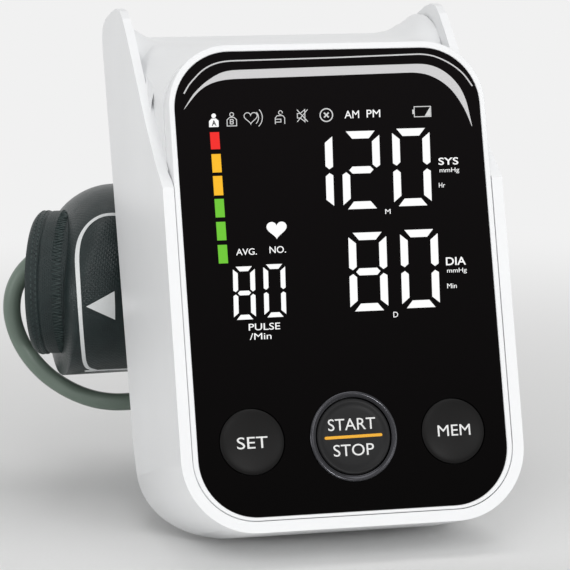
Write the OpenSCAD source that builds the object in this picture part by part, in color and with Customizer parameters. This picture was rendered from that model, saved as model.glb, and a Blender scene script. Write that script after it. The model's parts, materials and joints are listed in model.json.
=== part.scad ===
// Desk blood pressure monitor with a rolled arm cuff carried on its back.
// Millimetres. +Z is up, +X is to the right of the display, the front faces -Y.
// The origin is the centre of the front foot's underside, on the table.

/* [Body] */
// Width over the two side walls
body_w = 109; // [106:1:114]
// Height of the front panel, measured along its own slope
panel_h = 150.3; // [148:0.1:154]
// Thickness of the side walls and of the wings above them
wall = 3.5; // [3:0.5:4]
// Depth of the body at the foot of its back wall
depth_low = 69; // [67:1:71]
// Depth of the body at the top of its back wall
depth_top = 76.7; // [75:0.1:78]
// How far the front panel leans back from upright, degrees
lean = 15.4; // [14:0.2:17]
// Outer radius of the panel's lower corners
corner_r = 23; // [21:1:24]
// Radius of the rounded lower back of the body
heel_r = 38; // [36:1:40]

/* [Wings] */
// Height up the panel where the front strip ends and the wings begin
wing_foot = 106.5; // [104:0.5:110]
// Height of the wings' crest above the panel's lower edge
wing_top = 174; // [172:1:176]
// Height of the deck's rear edge between the wings
deck_top = 169; // [167:1:170]

/* [Lens and display] */
// Width of the black front lens
lens_w = 98; // [96:1:98]
// Height of the black front lens
lens_h = 143.3; // [141:0.1:143.4]
// Thickness of the lens
lens_t = 2; // [1.5:0.5:2]
// Height of the large digits
digit_h = 24.4; // [23:0.2:25]
// Width of one large digit
digit_w = 12; // [11:0.2:13]
// Height of the pulse digits
small_digit_h = 16.4; // [15:0.2:17]

/* [Buttons] */
// Radius of the two side buttons
side_button_r = 10; // [9:0.5:10.5]
// Radius of the start button's face
start_button_r = 11.7; // [11:0.1:12]
// Distance from the centre line to each side button
button_pitch = 32; // [31:0.5:33]
// Height of the button row above the panel's lower edge
button_row = 27.7; // [27:0.1:29]
// How far a button sinks when it is pressed
button_travel = 0.8; // [0.5:0.1:0.9]

/* [Stand] */
// Width of the rear stand that carries the cuff
stand_w = 56; // [54:1:58]
// Distance from the body's front edge to the stand's rear face
stand_end = 158; // [156:1:162]
// Distance from the body's front edge to the middle of the front foot
foot_inset = 55; // [52:1:58]

/* [Cuff] */
// Outer radius of the rolled cuff
cuff_r = 32.4; // [31:0.2:32.6]
// Radius of the inner wrap that sticks out at the ends
cuff_inner_r = 24.5; // [23.5:0.5:25]
// Radius of the opening the arm goes through
cuff_bore_r = 17; // [16:0.5:17.5]
// Half the length of the cuff's outer wrap
cuff_half = 62; // [58:1:64]
// Distance from the body's front edge to the cuff's axis
cuff_back = 130; // [129:0.5:132]
// Height of the cuff's axis above the table
cuff_up = 72; // [71.5:0.5:73]
// Diameter of the air hose
hose_d = 6; // [5:0.5:6]

/* [Hidden] */
$fn = 64;

shell_white = "#f2f3f4";
glass_black = "#0c0c0d";
cap_charcoal = "#2c2d2f";
nylon_slate = "#3a4341";
hose_grey = "#7f8a80";
board_green = "#1f5a3a";

tiny = 0.01;
side_in = body_w / 2 - wall;          // inner face of a side wall
inner_r = corner_r - wall;            // corner radius inside the side walls
frame_gap = 0.2;                      // groove between the frame and the side walls
frame_d = 8;                          // depth of the front frame
frame_low = wall;                     // lower edge of the front frame
lens_low = 4.85;                      // lower edge of the lens
lens_corner_r = 18;                   // corner radius of the lens
lens_back = 0.3 + lens_t;             // the lens lies just under the frame's rim
plate_t = 2;                          // face plate that carries the lens
ridge_w = depth_low - heel_r;         // where the flat underside turns up
body_lift = 11.4;                     // height of the panel's lower edge over the table
deck_tilt = atan((deck_top - panel_h) / (depth_top - frame_d));
deck_run = (depth_top - frame_d) / cos(deck_tilt) + 3;    // a little past the rear edge
wing_in = side_in + 0.7;              // inner face of a wing over the deck
wing_bend = 40;                       // depth from which a wing gets thinner
wing_flare = 1.3;                     // how much thinner it is at the rear
back_top = deck_top - 2;               // where the back wall starts to round over
back_slope = (depth_top - depth_low) / (back_top - heel_r);

big_columns = [-12.8, 3, 19.3];

board_front = 13;
board_t = 1.6;
post_places = [[-40, 16], [40, 16], [-38, 52], [38, 52]];
screw_r = 1.3;
pump_r = 12;
pump_v = heel_r + 8 + pump_r;
pump_w = 46;
pump_x = -28;
switch_h = 3.5;
cap_flange = 1.2;
cap_fit = 0.35;                       // gap between a button and the lens
ring_t = 1.9;                         // breadth of the start button's ring
flange_r = 1;                         // how far a flange stands out past its button

stand_floor = 3;
stand_wall = 2.5;
base_t = 2.5;
saddle_r = cuff_r + 0.6;
cell_r = 7.25;
cell_l = 50.5;
contact_t = 0.5;
cell_front = 97;
cell_rows = [13.1, 28.2];
cell_columns = [-7.6, 7.6];
bay_w = 33;
bay_front = 91.5;                     // wall that the front contacts sit on
door_w = 42;
door_low = 5.8;
door_h = 31;
door_t = 2.6;
socket_at = [-stand_w / 2, 131, 29];
port_reach = 13.6;                     // distance of the port from the cuff's axis
port_turn = 36;                       // how far the port lies behind the top of the bore
port_l = 14;
port_stub_r = 2.2;
port_at = [-52, cuff_back + port_reach * sin(port_turn), cuff_up + port_reach * cos(port_turn)];
bladder_half = 54;

// Place of a point of the leaning body, given its depth behind the panel and its height up it.
function lean_y(w, v) = w * cos(lean) + v * sin(lean);
function lean_z(w, v) = v * cos(lean) - w * sin(lean) + body_lift;
// Depth of the back wall's outer face at a height up the panel.
function back_at(v) = depth_low + (v - heel_r) * back_slope;

// The hose leaves the plug to the left, loops outward and up, and turns into the cuff's end.
hose_route = [
    [-43, 131, 29], [-49, 131.2, 29.1], [-54.8, 132.4, 29.9], [-60.4, 135, 31.6], [-65.9, 138.4, 34.4],
    [-71.3, 141.1, 38.6], [-76.3, 142.8, 44.6], [-80, 143.4, 51.8], [-81.9, 143, 59.6],
    [-81.3, 142, 67.2], [-78.1, 140.6, 73.8], [-72.6, 139.3, 78.9], [-65.8, 138.4, 82],
    [-58.8, 138, 83], [-52, 138, 83]
];
hose_sides = 10;
hose_steps = 2;                       // rings between two points of the route

// ---------- shared shapes ----------

// Moves a piece from the body's front edge to the model's origin.
module placed() { translate([0, -foot_inset, 0]) children(); }

// Leans a piece drawn in the panel's own directions: x across, y behind, z up the panel.
module leaned() { placed() translate([0, 0, body_lift]) rotate([-lean, 0, 0]) children(); }

// Extrudes a side view, drawn as depth and height, across the width.
module across(width) { rotate([90, 0, 90]) linear_extrude(width, center = true) children(); }

// Extrudes a front view, drawn as width and height, backwards from depth a to depth b.
module backwards(a, b) { translate([0, b, 0]) rotate([90, 0, 0]) linear_extrude(b - a) children(); }

// A cylinder along the depth, from depth a to depth b.
module peg(x, v, r, a, b) { translate([x, b, v]) rotate([90, 0, 0]) cylinder(r = r, h = b - a); }

// A box given by its lowest and highest corners.
module block(low, high) { translate(low) cube(high - low); }

// A round rod between two points.
module rod(a, b, r) {
    d = b - a;
    translate(a) rotate([0, acos(d[2] / norm(d)), atan2(d[1], d[0])]) cylinder(r = r, h = norm(d));
}

// Rectangle from low to high with all corners round.
module round_rect(half_w, low, high, r) {
    for (s = [-1, 1], v = [low + r, high - r]) translate([s * (half_w - r), v]) circle(r);
    translate([-half_w, low + r]) square([2 * half_w, high - low - 2 * r]);
    translate([-half_w + r, low]) square([2 * half_w - 2 * r, high - low]);
}

// ---------- body ----------

// Front view of the body: straight sides, round lower corners, open upwards.
module body_outline(inset) {
    half = body_w / 2 - inset;
    r = corner_r - inset;
    for (s = [-1, 1]) translate([s * (half - r), inset + r]) circle(r);
    translate([-half + r, inset]) square([2 * half - 2 * r, corner_r]);
    translate([-half, corner_r]) square([2 * half, wing_top]);
}

// Takes the round heel out of a side view.
module heel_cut(inset) {
    translate([ridge_w, -tiny]) difference() {
        square([80, heel_r + tiny]);
        translate([0, heel_r + tiny]) circle(heel_r - inset);
    }
}

// Side view of the body with its wings.
module side_profile() {
    difference() {
        polygon([[0, 0], [0, wing_foot], [8.4, 116], [18, 129.5], [28, 146], [38, 162], [42.5, 168.2],
            [46, 171.4], [51, 173.3], [59, wing_top], [69, 173.8], [73, 172.6], [75.8, 170.4],
            [depth_top, back_top], [depth_low, heel_r], [depth_low, 0]]);
        heel_cut(0);
    }
}

// Side view of the body between the wings, up to its rear edge.
module core_profile() {
    difference() {
        polygon([[frame_d, frame_low], [frame_d, deck_top], [depth_top - 1.5, deck_top + 1],
            [depth_top, back_top], [depth_low, heel_r], [depth_low, frame_low]]);
        heel_cut(0);
    }
}

// Plan of the space between the wings, which get thinner towards the rear.
module wing_gap_plan() {
    polygon([[-side_in, -2], [side_in, -2], [side_in, 0], [wing_in, frame_d], [wing_in, wing_bend],
        [wing_in + wing_flare, depth_top], [wing_in + wing_flare, depth_top + 21],
        [-wing_in - wing_flare, depth_top + 21], [-wing_in - wing_flare, depth_top],
        [-wing_in, wing_bend], [-wing_in, frame_d], [-side_in, 0]]);
}

// Outline of the body under the deck at the front, with its two round upper corners.
module deck_front(a, b) {
    backwards(a, b) round_rect(wing_in + tiny, 20, panel_h, inner_r + wing_in - side_in);
}

// Body under the deck: its round front corners run out into a straight rear edge.
module under_deck() {
    translate([0, frame_d, panel_h]) rotate([deck_tilt, 0, 0]) translate([0, 0, -panel_h]) {
        hull() deck_front(-12, 0.1);
        hull() {
            deck_front(0, 0.1);
            backwards(deck_run, deck_run + 0.1) translate([-body_w / 2, 20])
                square([body_w, panel_h - 20]);
        }
    }
}

// Space between the wings, above the deck that closes the body.
module above_deck() {
    difference() {
        intersection() {
            across(body_w + 2) polygon([[-1, wing_foot], [depth_top + 1, deck_top],
                [depth_top + 20, wing_top + 20], [-1, wing_top + 20]]);
            translate([0, 0, wing_foot - 20]) linear_extrude(wing_top) wing_gap_plan();
        }
        under_deck();
    }
}

// Side view of the hollow inside the body.
module hollow_profile() {
    difference() {
        polygon([[frame_d, frame_low], [frame_d, 136], [back_at(154) - 3, 154],
            [depth_low - 3, heel_r], [depth_low - 3, frame_low]]);
        heel_cut(wall);
    }
}

module rear_housing() color(shell_white) leaned() {
    difference() {
        union() {
            intersection() {
                backwards(-1, depth_top + 2) body_outline(0);
                across(body_w + 2) side_profile();
            }
            intersection() {
                backwards(frame_d, depth_top + 2) body_outline(wall + tiny);
                across(body_w) core_profile();
            }
        }
        above_deck();
        backwards(-tiny, frame_d) body_outline(wall);
        intersection() {
            across(2 * side_in - 5) hollow_profile();
            backwards(0, 90) body_outline(wall);
        }
        // passage for the inner air tube
        peg(tube_x, tube_v, 4.5, 60, 80);
    }
    // posts that carry the main board
    for (at = post_places) difference() {
        peg(at[0], at[1], 3.5, board_front + board_t, post_end(at[1]));
        peg(at[0], at[1], screw_r, board_front, board_front + 12);
    }
    // ribs under the pump
    for (x = [pump_x, pump_x + 40])
        block([x, pump_w - pump_r, heel_r - 4], [x + 4, depth_low - 2, heel_r + 8]);
}

// Depth that a post reaches, inside the back wall or the heel.
function post_end(v) = v > heel_r ? back_at(v) - 2
    : ridge_w + sqrt(pow(heel_r - 2, 2) - pow(heel_r - v, 2));

// Rim and face plate that hold the lens, with holes for the display and the buttons.
module front_frame() color(shell_white) leaned() difference() {
    backwards(0, frame_d) round_rect(side_in - frame_gap, frame_low + frame_gap, panel_h, inner_r);
    backwards(-1, lens_back) round_rect(lens_w / 2 + 0.1, lens_low - 0.1, lens_low + lens_h + 0.1,
        lens_corner_r + 0.1);
    backwards(lens_back + plate_t, frame_d + 1) round_rect(side_in - 2.2, frame_low + 2.2,
        panel_h - 2.2, inner_r - 2);
    block([-42, 0, 58], [42, frame_d, 131]);
    for (x = [-button_pitch, button_pitch])
        peg(x, button_row, side_button_r + flange_r + 0.6, 0, frame_d);
    peg(0, button_row, start_button_r + flange_r + 0.6, 0, frame_d);
}

module front_lens() color(glass_black) leaned() difference() {
    backwards(0.3, lens_back) round_rect(lens_w / 2, lens_low, lens_low + lens_h, lens_corner_r);
    for (x = [-button_pitch, button_pitch]) peg(x, button_row, side_button_r + cap_fit, -1, 4);
    peg(0, button_row, start_button_r + cap_fit + ring_t, -1, 4);
}

// Metallised ring round the start button.
module start_ring() color("silver") leaned() difference() {
    peg(0, button_row, start_button_r + cap_fit + ring_t, -0.6, lens_back);
    peg(0, button_row, start_button_r + cap_fit, -1, 4);
}

// A round button with a flange behind the lens and a stem for its switch. The face is a list
// of steps from the middle outwards, each a share of the radius and a height over the lens.
module button_cap(x, r, face) color(cap_charcoal) leaned() {
    translate([x, 0, button_row]) rotate([90, 0, 0]) rotate_extrude() polygon(concat(
        [for (step = face) [r * step[0], step[1]]],
        [[r, -flange_front], [r + flange_r, -flange_front], [r + flange_r, -flange_back],
        [stem_r, -flange_back], [stem_r, -stem_end], [0, -stem_end]]));
}
flange_front = lens_back + 0.3;
flange_back = flange_front + cap_flange;
stem_r = 3;
stem_end = board_front - switch_h - button_travel - 0.15;
domed = [[0, 0.9], [0.45, 0.76], [0.8, 0.38], [0.96, 0.05], [1, -0.35]];
dished = [[0, -0.35], [0.45, -0.28], [0.8, 0], [0.92, 0.3], [0.97, 0.3], [1, 0]];

module set_button() button_cap(-button_pitch, side_button_r, domed);
module start_stop_button() button_cap(0, start_button_r, dished);
module mem_button() button_cap(button_pitch, side_button_r, domed);

// ---------- electronics ----------

// Outline of one bar of a digit, lying along +x from the origin.
module bar(length, thick) {
    polygon([[0.3, 0], [thick / 2 + 0.3, thick / 2], [length - thick / 2 - 0.3, thick / 2],
        [length - 0.3, 0], [length - thick / 2 - 0.3, -thick / 2], [thick / 2 + 0.3, -thick / 2]]);
}

// The seven bars of a digit whose lower left corner is the origin.
module digit(w, h, thick) {
    half = h / 2 - thick / 2;
    for (row = [0, 1, 2]) translate([thick / 2, thick / 2 + row * half]) bar(w - thick, thick);
    for (x = [thick / 2, w - thick / 2], row = [0, 1])
        translate([x, thick / 2 + row * half]) rotate(90) bar(half, thick);
}

module all_digits() {
    for (x = big_columns) translate([x, 98]) digit(digit_w, digit_h, 2.4);
    for (x = [big_columns[1], big_columns[2]]) translate([x, 66.2]) digit(digit_w, digit_h, 2.4);
    for (x = [-34.3, -25]) translate([x, 65.2]) digit(6.9, small_digit_h, 1.4);
}

// White reflector block that keeps the light of the display's bars apart.
module display_block() color("white") leaned() difference() {
    block([-41.5, lens_back + 0.2, 58.5], [41.5, board_front, 130.5]);
    backwards(0, lens_back + 1.2) all_digits();
}

module segment_diffusers() color("white") leaned()
    backwards(lens_back, lens_back + 1.2) all_digits();

module main_board() color(board_green) leaned() difference() {
    block([-45, board_front, 10], [45, board_front + board_t, 131]);
    for (at = post_places) peg(at[0], at[1], screw_r + 0.3, board_front - 1, board_front + board_t + 1);
}

// One push switch behind each button.
module button_switches() color("dimgray") leaned() for (x = [-button_pitch, 0, button_pitch]) {
    block([x - 3, board_front - 2.4, button_row - 3], [x + 3, board_front, button_row + 3]);
    peg(x, button_row, 1.7, board_front - switch_h, board_front - 2.4 + tiny);
}

// ---------- air system ----------

module pump_motor() color("silver") leaned() translate([pump_x, pump_w, pump_v]) rotate([0, 90, 0]) {
    cylinder(r = pump_r, h = 26);
    translate([0, 0, -3]) cylinder(r = 4, h = 3 + tiny);
}

module pump_head() color("ivory") leaned() translate([pump_x + 26, pump_w, pump_v])
    rotate([0, 90, 0]) {
        cylinder(r = pump_r, h = 18);
        cylinder(r = 2, h = 24);
    }

module release_valve() color("gray") leaned() {
    block([20, board_front + board_t, 60], [31, board_front + board_t + 14, 72]);
    peg(25.5, 66, 2, board_front + board_t + 14 - tiny, board_front + board_t + 20);
}

module pressure_sensor() color("black") leaned() {
    block([-5, board_front + board_t, 30], [5, board_front + board_t + 5, 38]);
    peg(0, 34, 1.5, board_front + board_t + 5 - tiny, board_front + board_t + 9);
}

module speaker() color("dimgray") leaned() difference() {
    peg(0, 100, 14, board_front + board_t, board_front + board_t + 6);
    peg(0, 100, 9, board_front + board_t + 4, board_front + board_t + 7);
}

// Tube from the pump's side of the body, through the back wall and down to the air socket.
tube_r = 2;
tube_x = 4;
tube_v = 52;
tube_end = 76;
tube_side = -22.5;
tube_turn = [tube_x, lean_y(tube_end, tube_v), lean_z(tube_end, tube_v)];
tube_drop = [tube_side, tube_turn[1], socket_at[2]];
module inner_air_tube() color("whitesmoke") {
    leaned() peg(tube_x, tube_v, tube_r, pump_w + pump_r - 0.6, tube_end);
    placed() {
        for (bend = [tube_turn, tube_drop]) translate(bend) sphere(tube_r + 0.3);
        rod(tube_turn, tube_drop, tube_r);
        rod(tube_drop, [tube_side, socket_at[1] - 3.9, socket_at[2]], tube_r);
    }
}

// ---------- stand ----------

stand_foot_front = lean_y(depth_low, heel_r);
stand_shelf = lean_z(back_at(66), 66);
shelf_front = lean_y(back_at(66), 66);

// Side view of the stand: it meets the back wall, and its top is the saddle for the cuff.
module stand_side() {
    difference() {
        polygon([[stand_foot_front + 1.5, stand_floor], [stand_end, stand_floor], [stand_end, 50],
            [stand_end - 3, 53], [112, stand_shelf], [shelf_front, stand_shelf],
            [stand_foot_front, lean_z(depth_low, heel_r)]]);
        translate([cuff_back, cuff_up]) circle(saddle_r);
    }
}

// The bay for the four cells, and the hollow in front of it for the air tube.
module stand_hollow() {
    block([-bay_w / 2, bay_front, -1], [bay_w / 2, stand_end + 1, 36.4]);
    block([-stand_w / 2 + stand_wall, stand_foot_front + 6, -1],
        [stand_w / 2 - stand_wall, bay_front - 1.5, 36.4]);
    for (s = [-1, 1]) block([s * 22 - 3.5, 84, -1], [s * 22 + 3.5, 152, 34]);
    block([-20, 78, 30], [20, bay_front - 1.5, 51]);
}

module stand_shell() color(shell_white) placed() difference() {
    across(stand_w) stand_side();
    stand_hollow();
    // opening that the battery door closes
    block([-door_w / 2, stand_end - door_t, door_low], [door_w / 2, stand_end + 1, door_low + door_h]);
    // holes for the two sockets
    translate(socket_at - [1, 0, 0]) rotate([0, 90, 0]) cylinder(r = 4, h = 8);
    translate([stand_w / 2 - 8, socket_at[1], socket_at[2]]) rotate([0, 90, 0]) cylinder(r = 4, h = 9);
    // the base plate's rebate
    block([-stand_w / 2 + 1.2, stand_foot_front + 2.7, stand_floor - 1],
        [stand_w / 2 - 1.2, stand_end - door_t - 1, stand_floor + base_t]);
}

// Plate that closes the stand from below.
module stand_base() color(shell_white) placed() difference() {
    block([-stand_w / 2 + 1.4, stand_foot_front + 2.9, stand_floor],
        [stand_w / 2 - 1.4, stand_end - door_t - 1.2, stand_floor + base_t]);
    for (s = [-1, 1]) translate([s * 20, 140, stand_floor - 1]) cylinder(r = 5, h = 1.8);
}

// Socket that the hose plug pushes into.
module air_socket() color("#c9cdcf") placed() translate(socket_at) rotate([0, 90, 0]) difference() {
    union() {
        translate([0, 0, -0.8]) cylinder(r = 5.6, h = 0.8);
        cylinder(r = 3.9, h = 8.2);
    }
    translate([0, 0, -1]) cylinder(r = 2.7, h = 8.4);
}

// Socket for a mains adapter.
module power_socket() color("#1a1a1a") placed() translate([stand_w / 2, socket_at[1], socket_at[2]])
    rotate([0, -90, 0]) difference() {
        union() {
            translate([0, 0, -0.8]) cylinder(r = 5.2, h = 0.8);
            cylinder(r = 3.9, h = 8.2);
        }
        translate([0, 0, -1]) cylinder(r = 2.75, h = 8);
    }

module battery_cells() color("steelblue") placed() for (x = cell_columns, z = cell_rows)
    translate([x, cell_front, z]) rotate([-90, 0, 0]) {
        cylinder(r = cell_r, h = cell_l - 1.2);
        cylinder(r = 2.7, h = cell_l);
    }

// Cone springs on the bay's front wall, and plates in its side walls at the cells' rear ends.
module battery_contacts() color("silver") placed() for (x = cell_columns, z = cell_rows) {
    block([x - 5.5, bay_front, z - 5.5], [x + 5.5, bay_front + contact_t, z + 5.5]);
    translate([x, bay_front + contact_t, z]) rotate([-90, 0, 0])
        cylinder(r1 = 4.6, r2 = 2.6, h = cell_front - bay_front - contact_t);
    block([x > 0 ? 2 : -bay_w / 2, cell_front + cell_l, z - 5.5],
        [x > 0 ? bay_w / 2 : -2, cell_front + cell_l + contact_t, z + 5.5]);
}

// Door that snaps into the stand's rear face and pulls straight off.
module battery_door() color(shell_white) placed() {
    block([-door_w / 2 + 0.4, stand_end - door_t + 0.3, door_low + 0.4],
        [door_w / 2 - 0.4, stand_end, door_low + door_h - 0.4]);
    block([-7, stand_end - tiny, door_low + door_h - 5], [7, stand_end + 0.8, door_low + door_h - 3.5]);
    block([-12, cell_front + cell_l + 1, door_low + 4],
        [12, stand_end - door_t + 0.4, door_low + 6]);
}

// ---------- feet and screws ----------

// Rubber strip under the heel of the body.
module front_foot() color("#3c3c3e") placed() difference() {
    block([-30, foot_inset - 4, 0], [30, foot_inset + 4, 7]);
    translate([0, lean_y(ridge_w, heel_r), lean_z(ridge_w, heel_r)]) rotate([0, 90, 0])
        cylinder(r = heel_r, h = 100, center = true, $fn = 128);
}

module rear_feet() color("#3c3c3e") placed() for (s = [-1, 1]) translate([s * 20, 140, 0])
    cylinder(r = 5, h = stand_floor + 0.8);

// Screws that hold the main board to its posts.
module housing_screws() color("silver") {
    leaned() for (at = post_places) {
        peg(at[0], at[1], screw_r, board_front - tiny, board_front + 10);
        peg(at[0], at[1], 2.6, board_front - 1.4, board_front);
    }
}

// ---------- cuff and hose ----------

module hose_plug() color("#9aa19b") placed() translate(socket_at) rotate([0, -90, 0]) {
    translate([0, 0, -6.5]) cylinder(r = 2.4, h = 8);
    translate([0, 0, 1.2]) cylinder(r = 4.6, h = 9.8);
    translate([0, 0, 11]) cylinder(r1 = 4.4, r2 = 3.6, h = 4);
}

// A point of a smooth curve through the route, between points i and i + 1.
function route_point(i, t) = let (
    n = len(hose_route) - 1,
    a = hose_route[max(i - 1, 0)], b = hose_route[i],
    c = hose_route[min(i + 1, n)], d = hose_route[min(i + 2, n)])
    0.5 * (2 * b + (c - a) * t + (2 * a - 5 * b + 4 * c - d) * t * t
        + (3 * b - a - 3 * c + d) * t * t * t);
hose_line = [for (i = [0 : len(hose_route) - 2], k = [0 : hose_steps - 1]) route_point(i, k / hose_steps),
    hose_route[len(hose_route) - 1]];
function along(i) = let (n = len(hose_line) - 1,
    d = i == 0 || i == n ? [i == 0 ? -1 : 1, 0, 0] : hose_line[i + 1] - hose_line[i - 1]) d / norm(d);
// Two directions across the hose; the route never runs along +Y, so that direction serves.
function across_a(i) = let (c = cross(along(i), [0, 1, 0])) c / norm(c);
function across_b(i) = cross(along(i), across_a(i));
hose_points = [for (i = [0 : len(hose_line) - 1], k = [0 : hose_sides - 1])
    let (turn = 360 * k / hose_sides)
    hose_line[i] + hose_d / 2 * (cos(turn) * across_a(i) + sin(turn) * across_b(i))];
hose_rings = len(hose_line);
hose_faces = concat(
    [[for (k = [0 : hose_sides - 1]) k]],
    [for (i = [0 : hose_rings - 2], k = [0 : hose_sides - 1], half = [0, 1])
        let (a = i * hose_sides + k, b = i * hose_sides + (k + 1) % hose_sides)
        half == 0 ? [a, a + hose_sides, b + hose_sides] : [a, b + hose_sides, b]],
    [[for (k = [hose_sides - 1 : -1 : 0]) (hose_rings - 1) * hose_sides + k]]);

module air_hose() color(hose_grey) placed() polyhedron(hose_points, hose_faces);

// Half view of the rolled cuff: distance along its axis and radius.
module cuff_half_view(left, right) {
    polygon([[left, cuff_bore_r], [left, cuff_inner_r - 1.6], [left + 1, cuff_inner_r],
        [-cuff_half - 4, cuff_inner_r], [-cuff_half - 4, cuff_inner_r + 2.5], [-cuff_half - 1, 29.3],
        [-cuff_half + 4, 30.9], [-cuff_half + 11, cuff_r - 0.3], [-cuff_half + 18, cuff_r],
        [cuff_half - 22, cuff_r], [cuff_half - 8, 30.6], [cuff_half, 27.8],
        [cuff_half + 1, cuff_inner_r], [right - 1, cuff_inner_r], [right, cuff_inner_r - 1.6],
        [right, cuff_bore_r]]);
}

// Turns a half view, drawn as distance along the axis and radius, round the cuff's axis.
module round_cuff() placed() translate([0, cuff_back, cuff_up]) rotate([0, 90, 0])
    rotate_extrude($fn = 96) mirror([1, -1]) children();

module cuff_cover() color(nylon_slate) difference() {
    round_cuff() cuff_half_view(-86, 72);
    // the left end is cut on a slant: its front reaches further out than its back
    placed() translate([-75, cuff_back, cuff_up]) rotate([0, 0, -20])
        block([-60, -60, -40], [0, 60, 40]);
    round_cuff() bladder_half_view(0.15);
    port_side() translate([0, 0, 11]) cylinder(r = port_stub_r + 0.1, h = 8.8);
}

module bladder_half_view(grow) {
    translate([-bladder_half - grow, 19.4 - grow])
        square([2 * bladder_half + 2 * grow, 2.6 + 2 * grow]);
}

module cuff_bladder() color("#b7b09a") round_cuff() bladder_half_view(0);

// Turns z to point from the cuff's axis through the port, at the port's far end.
module port_side() placed() translate([port_at[0] + port_l - 4, cuff_back, cuff_up])
    rotate([-port_turn, 0, 0]) children();

// Moulded elbow where the hose enters the bladder, through the wall of the cuff's bore.
module cuff_port() color("#9aa19b") {
    placed() translate(port_at) rotate([0, 90, 0]) cylinder(r = 3.3, h = port_l);
    port_side() translate([0, 0, port_reach]) cylinder(r = port_stub_r, h = 19.4 - port_reach);
}

rear_housing();
front_frame();
front_lens();
start_ring();
display_block();
segment_diffusers();
main_board();
button_switches();
set_button();
start_stop_button();
mem_button();
pump_motor();
pump_head();
release_valve();
pressure_sensor();
speaker();
inner_air_tube();
stand_shell();
stand_base();
air_socket();
power_socket();
battery_cells();
battery_contacts();
battery_door();
front_foot();
rear_feet();
housing_screws();
hose_plug();
air_hose();
cuff_cover();
cuff_bladder();
cuff_port();
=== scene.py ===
"""Desk blood pressure monitor with a rolled arm cuff: finishes, modelled pieces, studio and camera.

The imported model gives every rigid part. This script dresses each of them, models what it can't
hold (the printed display, the legends, the rounded caps, the cuff's fabric and the air hose), and
sets a plain studio round it. Sizes are in millimetres unless a name ends in _m, and they become
metres where a mesh is made. Panel places are written as u across, w behind and v up the panel.
"""

import json
import logging
import math
from abc import ABC, abstractmethod
from dataclasses import dataclass, field
from enum import Enum
from typing import Callable, Iterable, Sequence, Union

import bpy
from mathutils import Matrix, Vector

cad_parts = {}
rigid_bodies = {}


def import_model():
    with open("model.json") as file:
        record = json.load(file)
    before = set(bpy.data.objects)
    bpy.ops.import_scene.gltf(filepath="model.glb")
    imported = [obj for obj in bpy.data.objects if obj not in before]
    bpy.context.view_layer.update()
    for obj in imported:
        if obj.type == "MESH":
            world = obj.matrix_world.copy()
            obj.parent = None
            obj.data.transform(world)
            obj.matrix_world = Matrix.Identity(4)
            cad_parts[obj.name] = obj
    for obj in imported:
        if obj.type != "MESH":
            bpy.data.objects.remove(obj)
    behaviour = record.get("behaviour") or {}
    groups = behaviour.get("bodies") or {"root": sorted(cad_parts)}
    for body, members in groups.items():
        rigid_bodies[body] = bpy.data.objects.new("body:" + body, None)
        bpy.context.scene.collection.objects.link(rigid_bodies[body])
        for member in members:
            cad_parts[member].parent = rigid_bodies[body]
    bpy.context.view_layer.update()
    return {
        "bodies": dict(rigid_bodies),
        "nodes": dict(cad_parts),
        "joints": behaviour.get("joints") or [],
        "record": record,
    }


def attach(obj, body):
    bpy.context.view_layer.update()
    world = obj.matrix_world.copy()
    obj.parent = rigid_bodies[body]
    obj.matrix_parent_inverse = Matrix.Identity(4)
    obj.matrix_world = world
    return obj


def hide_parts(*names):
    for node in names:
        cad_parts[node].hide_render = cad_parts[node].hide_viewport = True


log = logging.getLogger("monitor")

MM = 0.001

Point2 = tuple[float, float]
Point3 = tuple[float, float, float]
Colour = tuple[float, float, float, float]
Outline = list[Point2]
Socket = bpy.types.NodeSocket
SocketValue = Union[Socket, float, tuple]
Inputs = dict[Union[str, int], SocketValue]


# ---------------------------------------------------------------------------
# Colours and node trees
# ---------------------------------------------------------------------------


def linear(hex_colour: str) -> Colour:
    """Turns an sRGB colour such as "#E8E9EA" into the linear colour that a shader takes.

    Args:
        hex_colour: Six hex digits after a hash.

    Returns:
        Linear red, green, blue and an alpha of 1.
    """
    channels = []
    for start in (1, 3, 5):
        value = int(hex_colour[start : start + 2], 16) / 255
        channels.append(value / 12.92 if value <= 0.04045 else ((value + 0.055) / 1.055) ** 2.4)
    return (channels[0], channels[1], channels[2], 1.0)


def add_node(
    tree: bpy.types.NodeTree,
    kind: str,
    settings: dict[str, object] | None = None,
    inputs: Inputs | None = None,
) -> bpy.types.Node:
    """Adds a node with its settings and links.

    Args:
        tree: The tree that the node goes into.
        kind: Blender's name of the node's type.
        settings: The node's own properties.
        inputs: A constant or another node's output for each named input.

    Returns:
        The new node.
    """
    node = tree.nodes.new(kind)
    for key, value in (settings or {}).items():
        setattr(node, key, value)
    for key, value in (inputs or {}).items():
        if isinstance(value, Socket):
            tree.links.new(value, node.inputs[key])
        else:
            node.inputs[key].default_value = value
    return node


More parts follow.
